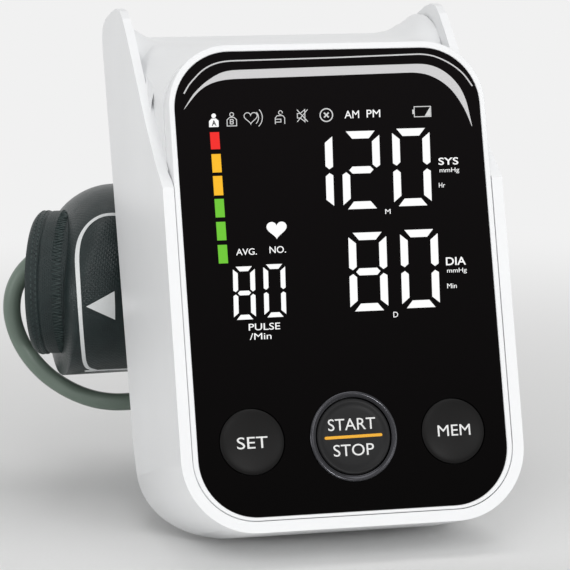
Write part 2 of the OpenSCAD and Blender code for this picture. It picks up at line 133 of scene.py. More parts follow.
class Shading:
    """A node material being built, with one call for each step that several finishes share."""

    def __init__(self, name: str) -> None:
        """Starts an empty node material.

        Args:
            name: The material's name.
        """
        self.material = bpy.data.materials.new(name)
        self.material.use_nodes = True
        self.tree = self.material.node_tree
        self.tree.nodes.clear()

    def add(self, kind: str, inputs: Inputs, **settings: object) -> bpy.types.Node:
        """Adds a node.

        Args:
            kind: Blender's name of the node's type.
            inputs: A constant or another node's output for each named input.
            settings: The node's own properties.

        Returns:
            The new node.
        """
        return add_node(self.tree, kind, settings, inputs)

    def place(self, output: str = "Object") -> Socket:
        """Gives the coordinate that a pattern is laid by."""
        return self.add("ShaderNodeTexCoord", {}).outputs[output]

    def noise(self, place: Socket, size: float, detail: float) -> Socket:
        """Gives noise whose features have a size in the coordinate's own unit."""
        inputs = {"Vector": place, "Scale": 1 / size, "Detail": detail}
        return self.add("ShaderNodeTexNoise", inputs).outputs["Fac"]

    def blend(self, factor: Socket, first: str, second: str) -> Socket:
        """Gives a colour between two hex colours."""
        inputs = {0: factor, 6: linear(first), 7: linear(second)}
        return self.add("ShaderNodeMix", inputs, data_type="RGBA").outputs[2]

    def spread(self, value: Socket, low: float, high: float) -> Socket:
        """Spreads a value from 0 to 1 over another range."""
        inputs = {"Value": value, "To Min": low, "To Max": high}
        return self.add("ShaderNodeMapRange", inputs).outputs["Result"]

    def bump(
        self, height: Socket, strength: float, depth_mm: float, below: Socket | None = None
    ) -> Socket:
        """Turns a height into a normal.

        Args:
            height: The height, from 0 to 1.
            strength: How much of it shows.
            depth_mm: The depth that it stands for.
            below: The normal of a coarser relief that this one lies on.

        Returns:
            The new normal.
        """
        inputs = {"Height": height, "Strength": strength, "Distance": depth_mm * MM}
        if below is not None:
            inputs["Normal"] = below
        return self.add("ShaderNodeBump", inputs).outputs["Normal"]

    def close(self, shader: bpy.types.Node) -> bpy.types.Material:
        """Links a finished shader to the output and gives the material."""
        self.add("ShaderNodeOutputMaterial", {"Surface": shader.outputs[0]})
        return self.material

    def surface(self, inputs: Inputs) -> bpy.types.Material:
        """Closes the material with a principled surface."""
        return self.close(self.add("ShaderNodeBsdfPrincipled", inputs))


# ---------------------------------------------------------------------------
# Finishes
# ---------------------------------------------------------------------------


class Finish(ABC):
    """A real surface: what it is made of and how it was made."""

    @abstractmethod
    def build(self) -> bpy.types.Material:
        """Builds the finish as a node material."""


@dataclass(frozen=True)
class MouldedPlastic(Finish):
    """Injection-moulded plastic such as ABS: an even tint with the fine grain of its mould."""

    name: str
    colour: str
    shade: str
    roughness: float = 0.36
    grain_mm: float = 0.45
    grain_depth_mm: float = 0.012
    flow_mm: float = 24.0
    ior_level: float = 0.5

    def build(self) -> bpy.types.Material:
        """Builds the plastic; faint flow marks tint it and roughen it a little."""
        shading = Shading(self.name)
        place = shading.place()
        flow = shading.noise(place, self.flow_mm * MM, 3.0)
        grain = shading.noise(place, self.grain_mm * MM, 2.0)
        return shading.surface(
            {
                "Base Color": shading.blend(flow, self.colour, self.shade),
                "Roughness": shading.spread(flow, self.roughness - 0.04, self.roughness + 0.05),
                "Normal": shading.bump(grain, 0.6, self.grain_depth_mm),
                "Specular IOR Level": self.ior_level,
            }
        )


@dataclass(frozen=True)
class SmokedAcrylic(Finish):
    """Cast smoked acrylic, polished: almost black; a painted reflection makes its top edge paler.
    """

    name: str = "smoked_acrylic"
    # high, the top colour, is painted reflection; low is the lens's own near-black
    low: str = "#020101"
    high: str = "#0C090A"
    painted_reflection_from_m: float = 0.02
    painted_reflection_full_at_m: float = 0.155
    roughness: float = 0.05
    wipe_mm: float = 9.0
    ior_level: float = 0.045

    def build(self) -> bpy.types.Material:
        """Builds the lens; faint wiping marks vary the gloss."""
        shading = Shading(self.name)
        place = shading.place()
        up = shading.add("ShaderNodeSeparateXYZ", {0: place}).outputs["Z"]
        # the colour runs from low to high with height: painted reflection towards the top edge
        span = {"Value": up, "From Min": self.painted_reflection_from_m, "From Max": self.painted_reflection_full_at_m}
        height = shading.add("ShaderNodeMapRange", span).outputs["Result"]
        wipe = shading.noise(place, self.wipe_mm * MM, 4.0)
        return shading.surface(
            {
                "Base Color": shading.blend(height, self.low, self.high),
                "Roughness": shading.spread(wipe, self.roughness, self.roughness * 2),
                "Specular IOR Level": self.ior_level,
            }
        )


@dataclass(frozen=True)
class LitPrint(Finish):
    """A lit window of the display: a diffuser that glows in one colour."""

    name: str
    colour: str
    unlit: str = "#101010"
    speckle_mm: float = 0.8

    def build(self) -> bpy.types.Material:
        """Builds the glow; the diffuser's grain evens it out to within a few parts in a hundred."""
        shading = Shading(self.name)
        speckle = shading.noise(shading.place(), self.speckle_mm * MM, 1.0)
        return shading.surface(
            {
                "Base Color": linear(self.unlit),
                "Roughness": 0.5,
                "Specular IOR Level": 0.1,
                "Emission Color": linear(self.colour),
                "Emission Strength": shading.spread(speckle, 0.94, 1.04),
            }
        )


@dataclass(frozen=True)
class PadPrintInk(Finish):
    """Pad-printed ink: a thin matt film with a slightly uneven cover."""

    name: str
    colour: str
    shade: str
    roughness: float = 0.5
    cover_mm: float = 0.35

    def build(self) -> bpy.types.Material:
        """Builds the ink film."""
        shading = Shading(self.name)
        cover = shading.noise(shading.place(), self.cover_mm * MM, 2.0)
        return shading.surface(
            {
                "Base Color": shading.blend(cover, self.colour, self.shade),
                "Roughness": self.roughness,
                "Specular IOR Level": 0.3,
            }
        )


@dataclass(frozen=True)
class PlatedMetal(Finish):
    """Metal, plated or drawn: its own colour in the reflection, with fine marks along one way."""

    name: str
    colour: str
    roughness: float = 0.16
    mark_mm: float = 0.3
    stretch: float = 0.05

    def build(self) -> bpy.types.Material:
        """Builds the metal; long fine marks vary its roughness."""
        shading = Shading(self.name)
        scaled = {"Vector": shading.place(), "Scale": (self.stretch, 1.0, 1.0)}
        drawn = shading.add("ShaderNodeMapping", scaled).outputs["Vector"]
        marks = shading.noise(drawn, self.mark_mm * MM, 3.0)
        return shading.surface(
            {
                "Base Color": linear(self.colour),
                "Metallic": 1.0,
                "Roughness": shading.spread(marks, self.roughness * 0.7, self.roughness * 1.5),
            }
        )


@dataclass(frozen=True)
class WovenNylon(Finish):
    """Plain-woven nylon: crossing threads with a soft sheen, mottled, with painted shade in its
    crease hollows.

    Its mesh carries a UV map in millimetres. The real threads are finer than the render shows,
    so they are drawn as coarse as thread_mm.
    """

    name: str
    colour: str
    shade: str
    thread_mm: float = 0.8
    roughness: float = 0.46
    sheen: float = 0.04
    depth_mm: float = 0.06
    crease_mm: float = 5.0
    crease_depth_mm: float = 0.3

    def build(self) -> bpy.types.Material:
        """Builds the weave from two sets of bands and a checker that picks the upper thread."""
        shading = Shading(self.name)
        cloth = shading.place("UV")
        # a wave texture repeats every pi / (10 * scale) of its coordinate
        bands = {"Vector": cloth, "Scale": math.pi / (10 * self.thread_mm)}
        across, along = (
            shading.add("ShaderNodeTexWave", bands, wave_type="BANDS", bands_direction=way)
            for way in "XY"
        )
        checker = {"Vector": cloth, "Scale": 1 / self.thread_mm}
        upper = shading.add("ShaderNodeTexChecker", checker).outputs["Fac"]
        pick = {0: upper, 2: across.outputs["Fac"], 3: along.outputs["Fac"]}
        weave = shading.add("ShaderNodeMix", pick, data_type="FLOAT").outputs[0]
        # one noise gives the crease relief and the colour: the shade colour in the crease hollows
        # is painted shade
        crease_height_and_shade = shading.noise(cloth, self.crease_mm, 5.0)
        creases = shading.bump(crease_height_and_shade, 0.7, self.crease_depth_mm)
        return shading.surface(
            {
                "Base Color": shading.blend(crease_height_and_shade, self.shade, self.colour),
                "Roughness": self.roughness,
                "Specular IOR Level": 0.32,
                "Sheen Weight": self.sheen,
                "Sheen Roughness": 0.4,
                "Normal": shading.bump(weave, 0.8, self.depth_mm, creases),
            }
        )


@dataclass(frozen=True)
class SoftPolymer(Finish):
    """Extruded or moulded soft polymer, such as a PVC hose or a rubber foot: dull and smooth."""

    name: str
    colour: str
    shade: str
    roughness: float = 0.45
    mottle_mm: float = 4.0
    skin_mm: float = 0.5
    skin_depth_mm: float = 0.02
    coat: float = 0.0

    def build(self) -> bpy.types.Material:
        """Builds the polymer; its skin has the slight unevenness of an extrusion."""
        shading = Shading(self.name)
        place = shading.place()
        mottle = shading.noise(place, self.mottle_mm * MM, 3.0)
        skin = shading.noise(place, self.skin_mm * MM, 2.0)
        return shading.surface(
            {
                "Base Color": shading.blend(mottle, self.shade, self.colour),
                "Roughness": self.roughness,
                "Specular IOR Level": 0.4,
                "Coat Weight": self.coat,
                "Coat Roughness": 0.3,
                "Normal": shading.bump(skin, 0.5, self.skin_depth_mm),
            }
        )


@dataclass(frozen=True)
class PrintedBoard(Finish):
    """Glass-epoxy circuit board under green solder mask, with paler copper tracks beneath it."""

    name: str = "solder_mask"
    mask: str = "#1C5738"
    track: str = "#2F7A4C"
    track_mm: float = 2.4

    def build(self) -> bpy.types.Material:
        """Builds the board; a brick pattern stands for the runs of the tracks."""
        shading = Shading(self.name)
        upright = {"Vector": shading.place(), "Rotation": (math.pi / 2, 0.0, 0.0)}
        bricks = {
            "Vector": shading.add("ShaderNodeMapping", upright).outputs["Vector"],
            "Scale": 1 / (self.track_mm * MM),
            "Color1": linear(self.mask),
            "Color2": linear(self.mask),
            "Mortar": linear(self.track),
            "Mortar Size": 0.06,
        }
        tracks = shading.add("ShaderNodeTexBrick", bricks).outputs["Color"]
        return shading.surface({"Base Color": tracks, "Roughness": 0.3})


@dataclass(frozen=True)
class CellSleeve(Finish):
    """Shrink sleeve of a dry cell: one colour over most of its length and a band of another."""

    name: str = "cell_sleeve"
    body: str = "#23262B"
    band: str = "#B8863A"
    band_from_m: float = 0.080
    roughness: float = 0.3

    def build(self) -> bpy.types.Material:
        """Builds the sleeve; the band starts at a place along the cell."""
        shading = Shading(self.name)
        along = shading.add("ShaderNodeSeparateXYZ", {0: shading.place()}).outputs["Y"]
        limit = {0: along, 1: self.band_from_m}
        past = shading.add("ShaderNodeMath", limit, operation="GREATER_THAN").outputs[0]
        return shading.surface(
            {
                "Base Color": shading.blend(past, self.body, self.band),
                "Metallic": 0.3,
                "Roughness": self.roughness,
            }
        )


class Palette:
    """Every finish of the monitor, each built once when it is first asked for."""

    def __init__(self) -> None:
        """Names the finishes."""
        self.finishes: dict[str, Finish] = {
            # white ABS: bright, with the soft gloss of a fine-textured mould
            "shell": MouldedPlastic("white_abs", "#F2F3F4", "#ECEDEE"),
            "lens": SmokedAcrylic(),
            "lit_white": LitPrint("lit_white", "#FFFFFF"),
            "lit_pale": LitPrint("lit_pale", "#D6D6D6"),
            "lit_red": LitPrint("lit_red", "#F52823"),
            "lit_amber": LitPrint("lit_amber", "#FDBE23"),
            "lit_green": LitPrint("lit_green", "#6EC832"),
            "mask": PadPrintInk("mask_ink", "#0A0A0A", "#0D0D0E"),
            # glint: pale ink on the lens, a painted highlight standing in for a reflection
            "glint": PadPrintInk("painted_glint_ink", "#CDCCCD", "#C4C3C4", roughness=0.3),
            "legend": PadPrintInk("legend_ink", "#E9E9E8", "#E1E1E0"),
            "legend_amber": PadPrintInk("legend_ink_amber", "#F0B030", "#E9A828"),
            "ring": PlatedMetal("dark_chrome", "#414144", 0.18),
            # charcoal PBT: a dry, spark-eroded skin that keeps highlights soft
            "cap": MouldedPlastic(
                "charcoal_pbt", "#100F0F", "#0D0C0C", 0.42, 0.3, 0.014, 12.0, 0.14
            ),
            "face": MouldedPlastic(
                "charcoal_pbt_flat", "#19191A", "#161617", 0.42, 0.3, 0.012, 12.0, 0.18
            ),
            # the darker second colour of each weave is painted shade in its crease hollows
            "nylon": WovenNylon("woven_nylon", "#253131", "#141D1E", roughness=0.33),
            "binding": WovenNylon("binding_tape", "#233030", "#141D1E", 0.7, 0.45, 0.03, 0.1),
            "pile": WovenNylon("loop_pile", "#1F2525", "#171C1C", 0.9, 0.9, 0.5, 0.4),
            "thread": SoftPolymer("bonded_thread", "#334140", "#243130", 0.55, 1.0, 0.2),
            "cuff_ink": PadPrintInk("screen_ink", "#E6E8E8", "#DDE0E0", 0.6, 0.8),
            "hose": SoftPolymer("pvc_hose", "#76857A", "#67756B", 0.4, 9.0, 0.6, 0.015, 0.1),
            "plug": MouldedPlastic("grey_abs", "#A4A9AB", "#9AA0A2", 0.4),
            "rubber": SoftPolymer("moulded_rubber", "#3B3B3D", "#303032", 0.75, 3.0, 0.4, 0.04),
            "bladder": SoftPolymer("bladder_tpu", "#B9B29C", "#A59E88", 0.5, 6.0, 0.6),
            "black": MouldedPlastic("black_nylon", "#1A1A1B", "#151516", 0.45),
            "socket": MouldedPlastic("pale_grey_abs", "#C6CACC", "#BDC1C4", 0.35),
            "label": PadPrintInk("label_film", "#DCDEE0", "#D4D6D8", 0.35, 1.2),
            "reflector": MouldedPlastic("reflector_pc", "#F4F4F0", "#E9E9E4", 0.3),
            "diffuser": MouldedPlastic("diffuser_pmma", "#FAFAFA", "#F0F0F2", 0.25),
            "board": PrintedBoard(),
            "steel": PlatedMetal("plated_steel", "#B9BCC0", 0.26, 0.4, 0.1),
            "ivory": MouldedPlastic("ivory_pom", "#E6DFCB", "#DCD4BE", 0.4),
            "grey": MouldedPlastic("valve_grey", "#8D9194", "#83878A", 0.4),
            "vinyl": SoftPolymer("clear_vinyl", "#D9DEDC", "#C9CFCC", 0.2, 6.0, 0.8),
            "cell": CellSleeve(),
        }
        self.built: dict[str, bpy.types.Material] = {}

    def get(self, key: str) -> bpy.types.Material:
        """Gives a finish's material.

        Args:
            key: The finish's short name.

        Returns:
            The material, built on the first call.
        """
        if key not in self.built:
            self.built[key] = self.finishes[key].build()
        return self.built[key]


# ---------------------------------------------------------------------------
# Meshes
# ---------------------------------------------------------------------------


@dataclass
class Solid:
    """Points in millimetres, faces and an optional UV per point of a piece being built."""

    points: list[Vector] = field(default_factory=list)
    faces: list[tuple[int, ...]] = field(default_factory=list)
    cloth: list[Point2] = field(default_factory=list)
    # lengths after which the cloth's two directions meet their own start
    repeat: Point2 = (math.inf, math.inf)

    def add(self, points: Iterable[Vector], faces: Iterable[Sequence[int]]) -> None:
        """Adds points and the faces that join them.

        Args:
            points: New points.
            faces: Faces whose numbers count from the first new point.
        """
        first = len(self.points)
        self.points.extend(points)
        self.faces.extend(tuple(first + i for i in face) for face in faces)

    def extend(self, other: "Solid") -> None:
        """Adds all of another solid."""
        self.add(other.points, other.faces)

    def lay_cloth(self, mesh: bpy.types.Mesh) -> None:
        """Writes the UV map, and carries a face on past the place where the cloth meets itself."""
        layer = mesh.uv_layers.new(name="cloth_mm")
        for polygon in mesh.polygons:
            corners = [self.cloth[i] for i in polygon.vertices]
            for side in (0, 1):
                furthest = max(corner[side] for corner in corners)
                period = self.repeat[side]
                for number, loop in enumerate(polygon.loop_indices):
                    value = corners[number][side]
                    if furthest - value > period / 2:
                        value += period
                    layer.data[loop].uv[side] = value

    def finish(
        self, name: str, material: bpy.types.Material, slot: str, body: str, smooth: bool = True
    ) -> bpy.types.Object:
        """Makes the piece's object, dresses it and lets it ride on its body.

        Args:
            name: The piece's name.
            material: Its finish.
            slot: The record's material slot; not used.
            body: The body that carries it.
            smooth: Whether its faces are shaded smooth below a sharp angle.

        Returns:
            The new object.
        """
        mesh = bpy.data.meshes.new(name)
        mesh.from_pydata([tuple(p * MM) for p in self.points], [], self.faces)
        mesh.validate()
        if self.cloth:
            self.lay_cloth(mesh)
        mesh.materials.append(material)
        piece = bpy.data.objects.new(name, mesh)
        bpy.context.scene.collection.objects.link(piece)
        if smooth:
            mesh.shade_smooth()
            mesh.set_sharp_from_angle(angle=math.radians(40))
        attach(piece, body)
        log.info("%s: %d faces on %s", name, len(mesh.polygons), body)
        return piece


def wrapped_grid(rows: int, columns: int) -> list[tuple[int, ...]]:
    """Faces of a closed ring of closed rings, such as a tyre.

    Args:
        rows: Points round each section.
        columns: Sections round the piece.

    Returns:
        Quads of a grid whose rows and columns both close, numbered by column and then row.
    """
    faces = []
    for column in range(columns):
        after = (column + 1) % columns
        for row in range(rows):
            up = (row + 1) % rows
            faces.append(
                (
                    column * rows + row,
                    column * rows + up,
                    after * rows + up,
                    after * rows + row,
                )
            )
    return faces


def lathe(
    profile: Sequence[Point2], place: Callable[[float, float, float], Vector], turns: int = 96
) -> Solid:
    """Turns a profile round an axis and closes it at both ends.

    Args:
        profile: Radius and height from one end of the axis to the other.
        place: Gives the point for two distances across the axis and a height along it.
        turns: Steps round the axis.

    Returns:
        The solid.
    """
    solid = Solid()
    points = []
    for radius, height in profile:
        for step in range(turns):
            angle = math.tau * step / turns
            points.append(place(radius * math.cos(angle), radius * math.sin(angle), height))
    faces: list[tuple[int, ...]] = []
    for ring in range(len(profile) - 1):
        for step in range(turns):
            after = (step + 1) % turns
            a, b = ring * turns + step, ring * turns + after
            faces.append((a, b, b + turns, a + turns))
    faces.append(tuple(reversed(range(turns))))
    last = (len(profile) - 1) * turns
    faces.append(tuple(range(last, last + turns)))
    solid.add(points, faces)
    return solid


def ring_lathe(
    profile: Sequence[Point2], place: Callable[[float, float, float], Vector], turns: int = 128
) -> Solid:
    """Turns a closed profile round an axis, as for a ring.

    Args:
        profile: Radius and height of each point of the closed profile.
        place: Gives the point for two distances across the axis and a height along it.
        turns: Steps round the axis.

    Returns:
        The solid.
    """
    solid = Solid()
    points = []
    for step in range(turns):
        angle = math.tau * step / turns
        for radius, height in profile:
            points.append(place(radius * math.cos(angle), radius * math.sin(angle), height))
    solid.add(points, wrapped_grid(len(profile), turns))
    return solid


def plate(
    outline: Sequence[Point2], place: Callable[[float, float], Vector], back: Vector
) -> Solid:
    """Makes a thin closed plate from an outline.

    Args:
        outline: Points of the outline, anticlockwise.
        place: Gives the front point for each point of the outline.
        back: Step from the front face to the back face.

    Returns:
        The solid.
    """
    solid = Solid()
    front = [place(x, y) for x, y in outline]
    count = len(front)
    faces: list[tuple[int, ...]] = [tuple(range(count)), tuple(reversed(range(count, 2 * count)))]
    for i in range(count):
        after = (i + 1) % count
        faces.append((i, i + count, after + count, after))
    solid.add(front + [p + back for p in front], faces)
    return solid


def smooth_line(points: Sequence[Sequence[float]], steps: int) -> list[Vector]:
    """Draws a smooth curve through points.

    Args:
        points: The points that the curve passes.
        steps: Points from one of them to the next.

    Returns:
        The curve's points, with the first and the last kept.
    """
    given = [Vector(p) for p in points]
    last = len(given) - 1
    line = []
    for i in range(last):
        a, b = given[max(i - 1, 0)], given[i]
        c, d = given[i + 1], given[min(i + 2, last)]
        for step in range(steps):
            t = step / steps
            line.append(
                0.5
                * (
                    2 * b
                    + (c - a) * t
                    + (2 * a - 5 * b + 4 * c - d) * t**2
                    + (3 * b - a - 3 * c + d) * t**3
                )
            )
    line.append(given[last])
    return line


def even_line(points: Sequence[Point2], spacing: float, passes: int = 5) -> Outline:
    """Draws a curve near measured points with their small errors smoothed away.

    Args:
        points: The measured points.
        spacing: Distance from one of the curve's points to the next.
        passes: How often each point is drawn towards its neighbours.

    Returns:
        Evenly spaced points; both ends stay where they are.
    """
    dense = [Vector(points[0])]
    for a, b in zip(points, points[1:]):
        a, b = Vector(a), Vector(b)
        pieces = max(1, round((b - a).length / spacing))
        dense += [a.lerp(b, (i + 1) / pieces) for i in range(pieces)]
    for _ in range(passes):
        inner = [(a + 2 * b + c) / 4 for a, b, c in zip(dense, dense[1:], dense[2:])]
        dense = [dense[0], *inner, dense[-1]]
    return [tuple(p) for p in dense]


def arc(centre: Point2, radius: float, start: float, end: float, steps: int = 16) -> Outline:
    """Points of an arc.

    Args:
        centre: The arc's centre.
        radius: Its radius.
        start: Where it starts, in degrees from +u towards +v.
        end: Where it ends.
        steps: How many stretches it has.

    Returns:
        The points, both ends among them.
    """
    turns = [math.radians(start + (end - start) * i / steps) for i in range(steps + 1)]
    return [(centre[0] + radius * math.cos(t), centre[1] + radius * math.sin(t)) for t in turns]


def stroke(line: Sequence[Point2], width: float, closed: bool = False) -> list[Outline]:
    """Draws a line of even width as a row of four-sided outlines.

    Args:
        line: The line's points.
        width: Its width.
        closed: Whether its last point joins its first.

    Returns:
        One outline for each stretch, mitred where they meet.
    """
    points = [Vector((x, y)) for x, y in line]
    count = len(points)
    sides = []
    for i, point in enumerate(points):
        before = points[i - 1] if i or closed else None
        after = points[(i + 1) % count] if i < count - 1 or closed else None
        ways = []
        if before is not None:
            ways.append((point - before).normalized())
        if after is not None:
            ways.append((after - point).normalized())
        way = sum(ways, Vector((0, 0))).normalized()
        mitre = max(way.dot(ways[0]), 0.4)
        off = Vector((-way.y, way.x)) * (width / 2 / mitre)
        sides.append((point + off, point - off))
    stretches = count if closed else count - 1
    outlines = []
    for i in range(stretches):
        left, right = sides[i]
        next_left, next_right = sides[(i + 1) % count]
        outlines.append([tuple(right), tuple(next_right), tuple(next_left), tuple(left)])
    return outlines


# ---------------------------------------------------------------------------
# The leaning panel
# ---------------------------------------------------------------------------


@dataclass(frozen=True)
class Panel:
    """The leaning front: where a place on it lies in the room."""

    lean: float = 15.4
    lift: float = 11.4
    foot_inset: float = 55.0
    lens_front: float = 0.3
    centre_v: float = 76.5

    def place(self, u: float, w: float, v: float) -> Vector:
        """Gives the point u across, w behind and v up the panel, in millimetres."""
        turn = math.radians(self.lean)
        return Vector(
            (
                u,
                w * math.cos(turn) + v * math.sin(turn) - self.foot_inset,
                v * math.cos(turn) - w * math.sin(turn) + self.lift,
            )
        )

    def inward(self, depth: float) -> Vector:
        """Gives the step that goes so deep behind the panel, in millimetres."""
        return self.place(0, depth, 0) - self.place(0, 0, 0)


PANEL = Panel()


@dataclass(frozen=True)
class Lettering:
    """Flat words made from the built-in sans-serif face and fitted to a real size."""

    text: str
    u: float
    v: float
    width: float
    cap: float
    weight: float = 0.0

    def outline(self) -> tuple[list[Vector], list[tuple[int, ...]]]:
        """Makes the words as a closed flat solid round their own centre.

        Returns:
            Points with their depth in z, which runs from 0 at the front to -1 at the back, and
            the faces that join them.
        """
        curve = bpy.data.curves.new(self.text, "FONT")
        curve.body = self.text
        curve.size = 1.0
        curve.extrude = 0.5
        curve.offset = self.weight
        curve.resolution_u = 4
        words = bpy.data.objects.new(self.text, curve)
        bpy.context.scene.collection.objects.link(words)
        mesh = bpy.data.meshes.new_from_object(
            words.evaluated_get(bpy.context.evaluated_depsgraph_get())
        )
        xs = [v.co.x for v in mesh.vertices]
        ys = [v.co.y for v in mesh.vertices]
        middle = ((min(xs) + max(xs)) / 2, (min(ys) + max(ys)) / 2)
        scale = (self.width / (max(xs) - min(xs)), self.cap / (max(ys) - min(ys)))
        points = [
            Vector(
                (
                    (v.co.x - middle[0]) * scale[0],
                    (v.co.y - middle[1]) * scale[1],
                    v.co.z - 0.5,
                )
            )
            for v in mesh.vertices
        ]
        faces = [tuple(p.vertices) for p in mesh.polygons]
        bpy.data.objects.remove(words)
        bpy.data.curves.remove(curve)
        bpy.data.meshes.remove(mesh)
        return points, faces

    def solid(self, place: Callable[[float, float, float], Vector]) -> Solid:
        """Lays the words on a surface.

        Args:
            place: Gives the point for u, v and a depth from 0 to -1.

        Returns:
            The words as a solid.
        """
        points, faces = self.outline()
        solid = Solid()
        solid.add([place(self.u + p.x, self.v + p.y, p.z) for p in points], faces)
        return solid


# ---------------------------------------------------------------------------
# Shells and what they carry
# ---------------------------------------------------------------------------


@dataclass
class Casing:
    """The white casing, its frame, stand and door: rounded edges and the finish of each node."""

    frame: dict
    palette: Palette
    edge: float = 1.0
    fine_edge: float = 0.35
    panel_h: float = 150.3
    deck_top: float = 169.0
    depth_top: float = 76.7
    depth_low: float = 69.0
    heel: float = 38.0
    stand_x: float = 28.0
    frame_d: float = 8.0
    corner_r: float = 20.2
    overrun: float = 3.0
    sweep_r: float = 15.0
    sweep_from: float = 8.0
    wing_in: float = 51.7
    wing_bend: float = 40.0
    wing_flare: float = 1.3
    # depth behind the panel and height along it of the wing's upper edge
    crest: tuple[Point2, ...] = (
        (8.0, 106.5), (8.4, 116.0), (18.0, 129.5), (28.0, 146.0), (38.0, 162.0), (42.5, 168.2),
        (46.0, 171.4), (51.0, 173.3), (59.0, 174.0), (69.0, 173.8), (73.0, 172.6),
        (75.8, 170.4), (76.7, 169.0),
    )

    def round_edges(self, node: bpy.types.Object, radius: float) -> None:
        """Rounds a node's sharp edges without touching its mesh.

        Args:
            node: The node's object.
            radius: Radius of the rounding, in millimetres.
        """
        weld = node.modifiers.new("weld", "WELD")
        weld.merge_threshold = 0.002 * MM
        flat = node.modifiers.new("flat", "DECIMATE")
        flat.decimate_type = "DISSOLVE"
        flat.angle_limit = math.radians(1.0)
        bevel = node.modifiers.new("edge", "BEVEL")
        bevel.width = radius * MM
        bevel.segments = 3
        bevel.limit_method = "ANGLE"
        bevel.angle_limit = math.radians(32)
        bevel.harden_normals = True
        bevel.use_clamp_overlap = True

    def dress(self, name: str, finish: str) -> bpy.types.Object:
        """Gives a node its finish.

        Args:
            name: The node's name.
            finish: The finish's short name.

        Returns:
            The node's object.
        """
        node = self.frame["nodes"][name]
        node.data.materials.clear()
        node.data.materials.append(self.palette.get(finish))
        log.info("%s: %s", name, finish)
        return node

    def deck_drop(self, inward: float, radius: float) -> float:
        """Gives how far a rounded corner has fallen at a distance from its side.

        Args:
            inward: Distance from the side.
            radius: The corner's radius.

        Returns:
            The drop in millimetres, 0 past the corner.
        """
        if radius <= 0 or inward >= radius:
            return 0.0
        return radius - math.sqrt(radius**2 - (radius - inward) ** 2)

    def crest_height(self, depth: float) -> float:
        """Gives how high up the panel the wing reaches at a depth behind it."""
        for (near, low), (far, high) in zip(self.crest, self.crest[1:]):
            if depth <= far:
                return low + (high - low) * (depth - near) / (far - near)
        return self.crest[-1][1]

    def deck_sweep(self, side: int) -> Solid:
        """Makes the hollow sweep that carries the deck up into a wing towards the rear.

        Args:
            side: 1 for the right wing and -1 for the left.

        Returns:
            The solid: a skin over the deck whose hollow radius grows from nothing.
        """
        tilt = math.atan((self.deck_top - self.panel_h) / (self.depth_top - self.frame_d))
        run = (self.depth_top - self.frame_d) / math.cos(tilt)
        steps, lanes = 30, 28
        points = []
        for i in range(steps + 1):
            reach = self.sweep_from + (run - self.sweep_from - 0.6) * i / steps
            share = reach / run
            depth = self.frame_d + reach * math.cos(tilt)
            flare = max(0.0, depth - self.wing_bend) / (self.depth_top - self.wing_bend)
            half = self.wing_in + self.wing_flare * flare
            corner = self.corner_r * max(0.0, 1 - reach / (run + self.overrun))
            ease = min(max((share - 0.14) / 0.6, 0.0), 1.0)
            sunk = 0.6 * max(0.0, 1 - (reach - self.sweep_from) / 4) ** 2
            hollow = self.sweep_r * ease * ease * (3 - 2 * ease)
            spread = self.corner_r + 1.5
            deck = self.panel_h + reach * math.sin(tilt)
            room = max(self.crest_height(depth) - deck - 0.6, 0.0)
            for upper in (True, False):
                order = range(lanes + 1) if upper else range(lanes, -1, -1)
                for k in order:
                    inward = spread * (1 - math.sin(math.pi / 2 * k / lanes))
                    rise = -self.deck_drop(inward, corner)
                    rise += min(self.deck_drop(inward, hollow), room) + 0.03 if upper else -0.5
                    rise -= 0.25 * (1 - k / lanes) ** 8 + sunk if upper else sunk
                    reach_w = depth - rise * math.sin(tilt)
                    reach_v = self.panel_h + reach * math.sin(tilt) + rise * math.cos(tilt)
                    across = half - inward + 0.15
                    points.append(PANEL.place(side * across, reach_w, reach_v))
        rows = 2 * (lanes + 1)
        faces: list[tuple[int, ...]] = []
        for i in range(steps):
            for k in range(rows):
                up = (k + 1) % rows
                faces.append((i * rows + k, i * rows + up, (i + 1) * rows + up, (i + 1) * rows + k))
        faces.append(tuple(reversed(range(rows))))
        faces.append(tuple(range(steps * rows, (steps + 1) * rows)))
        if side > 0:
            faces = [tuple(reversed(face)) for face in faces]
        solid = Solid()
        solid.add(points, faces)
        return solid

    def rear_label(self) -> None:
        """Lays the rating label on the sloping back, and the words beside the sockets."""

        def behind(lift: float) -> Callable[[float, float], Vector]:
            def placer(x: float, y: float) -> Vector:
                share = (y - self.heel) / (self.deck_top - 2 - self.heel)
                depth = self.depth_low + (self.depth_top - self.depth_low) * share
                return PANEL.place(-x, depth + lift, y)

            return placer

        half, low, high, corner = 27.0, 131.0, 155.0, 2.0
        outline: Outline = []
        for x, y, start in (
            (half - corner, high - corner, 0),
            (corner - half, high - corner, 90),
            (corner - half, low + corner, 180),
            (half - corner, low + corner, 270),
        ):
            outline += arc((x, y), corner, start, start + 90, 6)
        film = plate(outline, behind(0.12), PANEL.inward(-0.3))
        film.finish("rating_label", self.palette.get("label"), "shell_white", "root", smooth=False)
        words = Solid()
        for lettering in (
            Lettering("BLOOD PRESSURE MONITOR", 0, 148.5, 44.0, 2.8),
            Lettering("DC 6V      4 x 1.5V AA", 0, 142.0, 38.0, 2.4),
            Lettering("PULL DOOR TO OPEN", 0, 136.5, 32.0, 2.0),
        ):
            lay = behind(0.0)
            out = PANEL.inward(1.0)
            words.extend(lettering.solid(lambda u, v, d: lay(u, v) + out * (0.18 + 0.05 * d)))
        power = Lettering("DC 6V", 76.0, 20.0, 9.0, 2.1)
        words.extend(power.solid(lambda u, v, d: Vector((self.stand_x + 0.06 * (1 + d), u, v))))
        air = Lettering("AIR", -76.0, 19.0, 6.0, 2.1)
        words.extend(air.solid(lambda u, v, d: Vector((-self.stand_x - 0.06 * (1 + d), -u, v))))
        words.finish("rear_words", self.palette.get("mask"), "shell_white", "root", smooth=False)

